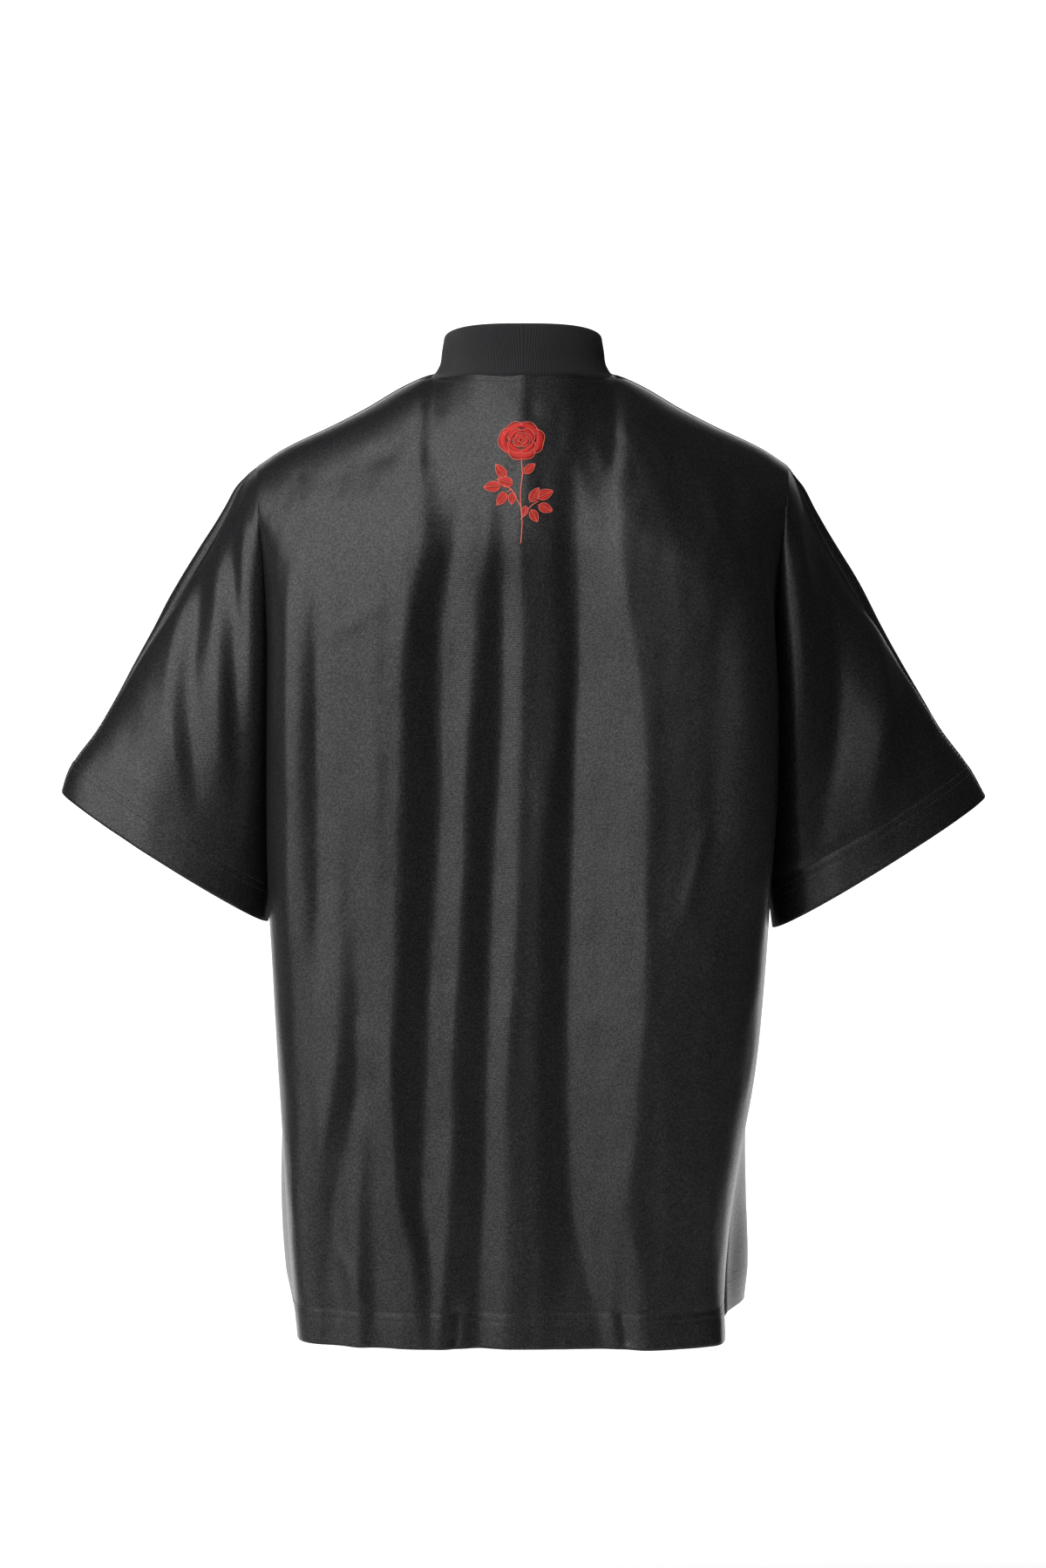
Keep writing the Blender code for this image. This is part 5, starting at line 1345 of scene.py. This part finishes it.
class ThreadSettings(bpy.types.PropertyGroup):
    """Sizes and colours of the sewing."""
    length: FloatProperty(name="Length", description="Length of a stitch", default=0.0026, unit="LENGTH")
    pitch: FloatProperty(name="Pitch", description="From stitch to stitch", default=0.0033, unit="LENGTH")
    radius: FloatProperty(name="Radius", description="Half the thread's width",
                          default=0.00032, unit="LENGTH")
    neck_line: FloatProperty(name="Neck Line", description="From the neck seam to its row of stitches",
                             default=0.0055, unit="LENGTH")
    seam_line: FloatProperty(name="Seam Line", description="From the overarm seam to its row",
                             default=0.0035, unit="LENGTH")
    colour: FloatVectorProperty(name="Colour", description="Colour of the thread", subtype="COLOR",
                                size=3, default=(0.012, 0.012, 0.013))


class RoseSettings(bpy.types.PropertyGroup):
    """Sizes and colours of the embroidered rose."""
    left: FloatProperty(name="Left", description="Of the bloom's middle from the middle of the back",
                        default=0.0012, unit="LENGTH")
    drop: FloatProperty(name="Drop", description="Of the bloom's middle below the origin",
                        default=0.0360, unit="LENGTH")
    squash: FloatProperty(name="Squash", description="Height of the bloom for its width", default=0.84)
    spacing: FloatProperty(name="Spacing", description="From thread to thread",
                           default=0.00052, unit="LENGTH")
    radius: FloatProperty(name="Radius", description="Half a thread's width", default=0.00030, unit="LENGTH")
    red: FloatVectorProperty(name="Red", description="Colour of the petals", subtype="COLOR",
                             size=3, default=(0.66, 0.016, 0.009))
    rim: FloatVectorProperty(name="Rim", description="Colour of the petals' and leaves' edges",
                             subtype="COLOR", size=3, default=(0.92, 0.17, 0.11))
    shade: FloatVectorProperty(name="Shade", description="Colour of the leaves and the stem", subtype="COLOR",
                               size=3, default=(0.66, 0.020, 0.012))


class StageSettings(bpy.types.PropertyGroup):
    """The floor, the camera and the lights."""
    floor_level: FloatProperty(name="Floor", description="Height of the floor", default=-1.25, unit="LENGTH")
    wall_distance: FloatProperty(name="Wall", description="From the garment to the wall",
                                 default=4.0, unit="LENGTH")
    floor_colour: FloatVectorProperty(name="Floor Colour", description="Colour of the floor and the wall",
                                      subtype="COLOR", size=3, default=(0.86, 0.86, 0.86))
    glow: FloatProperty(name="Glow", description="Light that the floor and the wall give off", default=0.48)
    camera_distance: FloatProperty(name="Distance", description="From the camera to its aim",
                                   default=9.0, unit="LENGTH")
    camera_rise: FloatProperty(name="Rise", description="Angle of the camera above level",
                               default=math.radians(10), subtype="ANGLE")
    aim_height: FloatProperty(name="Aim", description="Height that the camera looks at", default=-0.321,
                              unit="LENGTH")
    view_height: FloatProperty(name="View Height", description="Height of the view at the garment",
                               default=1.258, unit="LENGTH")
    key_power: FloatProperty(name="Key", description="Power of the main light", default=136.0, unit="POWER")
    fill_power: FloatProperty(name="Fill", description="Power of the fill light", default=6.0, unit="POWER")
    top_power: FloatProperty(name="Top Light", description="Power of the light overhead",
                             default=22.0, unit="POWER")
    wall_power: FloatProperty(name="Wall Light", description="Power of each light on the wall",
                              default=66.0, unit="POWER")
    backdrop: FloatProperty(name="Backdrop", default=0.90,
                            description="Brightness of what lies beyond the floor and the wall")
    air: FloatProperty(name="Air", description="Strength of the even light from all round", default=0.045)


class TopSettings(bpy.types.PropertyGroup):
    """All of the garment's settings."""
    cloth: PointerProperty(type=ClothSettings)
    rib: PointerProperty(type=RibSettings)
    thread: PointerProperty(type=ThreadSettings)
    rose: PointerProperty(type=RoseSettings)
    stage: PointerProperty(type=StageSettings)


def material_named(name, make):
    """A material by name, made the first time it is asked for."""
    return bpy.data.materials.get(name) or make()


def make_panel(context, face):
    """A panel with its stitches."""
    settings = context.scene.satin_top
    name = face + "_cloth"
    satin = material_named("satin_cloth", lambda: satin_knit(settings.cloth))
    piece = panel(name, face, satin, settings.cloth)
    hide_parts(face + "_panel")
    yarn = material_named("black_thread", lambda: thread_finish(
        "black_thread", settings.thread.colour, 2.0, 0.5))
    sewn = stitches(face + "_stitches", face, piece, yarn, settings.thread)


class TOP_OT_back_panel(bpy.types.Operator):
    """Build the back panel with its half of both sleeves"""
    bl_idname = "satin_top.back_panel"
    bl_label = "Back Panel"

    def execute(self, context):
        make_panel(context, "back")
        return {"FINISHED"}


class TOP_OT_front_panel(bpy.types.Operator):
    """Build the front panel with its half of both sleeves"""
    bl_idname = "satin_top.front_panel"
    bl_label = "Front Panel"

    def execute(self, context):
        make_panel(context, "front")
        return {"FINISHED"}


class TOP_OT_collar(bpy.types.Operator):
    """Build the rib collar"""
    bl_idname = "satin_top.collar"
    bl_label = "Rib Collar"

    def execute(self, context):
        settings = context.scene.satin_top.rib
        piece = collar("collar_rib", rib_knit(settings), settings)
        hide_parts("rib_collar")
        return {"FINISHED"}


class TOP_OT_rose(bpy.types.Operator):
    """Embroider the rose on the back panel"""
    bl_idname = "satin_top.rose"
    bl_label = "Embroidered Rose"

    def execute(self, context):
        rose = context.scene.satin_top.rose
        tree = tree_of(bpy.data.objects["back_cloth"])
        origin = (rose.left, rose.drop)
        petal_yarn = thread_finish("red_petal_thread", rose.red, 1.25, 0.42)
        rim_yarn = thread_finish("pale_red_thread", rose.rim, 1.15, 0.42)
        leaf_yarn = thread_finish("red_leaf_thread", rose.shade, 1.3, 0.42)
        petals = np.concatenate([petal_threads(p, rose.squash, rose.spacing) for p in PETALS])
        embroidery("rose_petals", petals, tree, origin, petal_yarn, rose.radius, 0.0006)
        rims = [chain_of(petal_rim(p, rose.squash), RIM_STEP, 0.00008) for p in PETALS]
        leaves = [leaf_threads(leaf, rose.spacing * 1.15) for leaf in LEAVES]
        embroidery("rose_leaves", np.concatenate([leaf[0] for leaf in leaves]), tree, origin,
                   leaf_yarn, rose.radius, 0.0004)
        for _, edges, vein in leaves:
            rims += [chain_of(edge, RIM_STEP, 0.00006) for edge in edges]
            rims.append(chain_of(vein, STEM_STEP, 0.00006))
        embroidery("rose_outlines", np.concatenate(rims), tree, origin, rim_yarn, rose.radius * 0.95, 0.0007)
        stems = np.concatenate([chain_of(twig, STEM_STEP, 0.00018) for twig in TWIGS])
        embroidery("rose_stem", stems, tree, origin, rim_yarn, rose.radius * 1.35, 0.0003)
        return {"FINISHED"}


class TOP_OT_stage(bpy.types.Operator):
    """Set the floor, the lights and the camera"""
    bl_idname = "satin_top.stage"
    bl_label = "Stage"

    def execute(self, context):
        stage = context.scene.satin_top.stage
        sweep(stage)
        camera(stage)
        aim = (0.0, 0.0, -0.35)
        area_light("key_light", (2.20, 1.98, 0.85), aim, (5.0, 4.6), stage.key_power)
        area_light("fill_light", (-0.71, 4.05, 0.52), aim, (1.2, 2.2), stage.fill_power)
        area_light("top_light", (0.9, 0.7, 2.7), aim, (2.4, 1.6), stage.top_power)
        for side in (-1, 1):
            area_light("wall_light", (side * 2.4, -1.5, -0.5), (side * 1.3, -3.7, -0.9), (1.2, 1.2),
                       stage.wall_power)
        world = bpy.data.worlds.new("studio_air")
        world.use_nodes = True
        nodes = world.node_tree.nodes
        background = nodes["Background"]
        background.inputs["Color"].default_value = (1.0, 1.0, 1.0, 1.0)
        ray = nodes.new("ShaderNodeLightPath")
        strength = nodes.new("ShaderNodeMapRange")
        strength.inputs["To Min"].default_value = stage.air
        strength.inputs["To Max"].default_value = stage.backdrop
        world.node_tree.links.new(ray.outputs["Is Camera Ray"], strength.inputs["Value"])
        world.node_tree.links.new(strength.outputs["Result"], background.inputs["Strength"])
        context.scene.world = world
        context.scene.view_settings.view_transform = "Standard"
        return {"FINISHED"}


STEPS = (TOP_OT_stage, TOP_OT_back_panel, TOP_OT_front_panel, TOP_OT_collar, TOP_OT_rose)


class TOP_PT_panel(bpy.types.Panel):
    """Lists the garment's pieces in the sidebar"""
    bl_idname = "TOP_PT_panel"
    bl_label = "Satin Top"
    bl_space_type = "VIEW_3D"
    bl_region_type = "UI"
    bl_category = "Satin Top"

    def draw(self, context):
        for step in STEPS:
            self.layout.operator(step.bl_idname)


CLASSES = (ClothSettings, RibSettings, ThreadSettings, RoseSettings, StageSettings, TopSettings,
           *STEPS, TOP_PT_panel)


def register():
    for cls in CLASSES:
        bpy.utils.register_class(cls)
    bpy.types.Scene.satin_top = PointerProperty(type=TopSettings)


def unregister():
    del bpy.types.Scene.satin_top
    for cls in reversed(CLASSES):
        bpy.utils.unregister_class(cls)


def main():
    """Build every piece in order."""
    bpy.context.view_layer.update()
    register()
    bpy.ops.satin_top.stage()
    bpy.ops.satin_top.back_panel()
    bpy.ops.satin_top.front_panel()
    bpy.ops.satin_top.collar()
    bpy.ops.satin_top.rose()


if __name__ == "__main__":
    main()
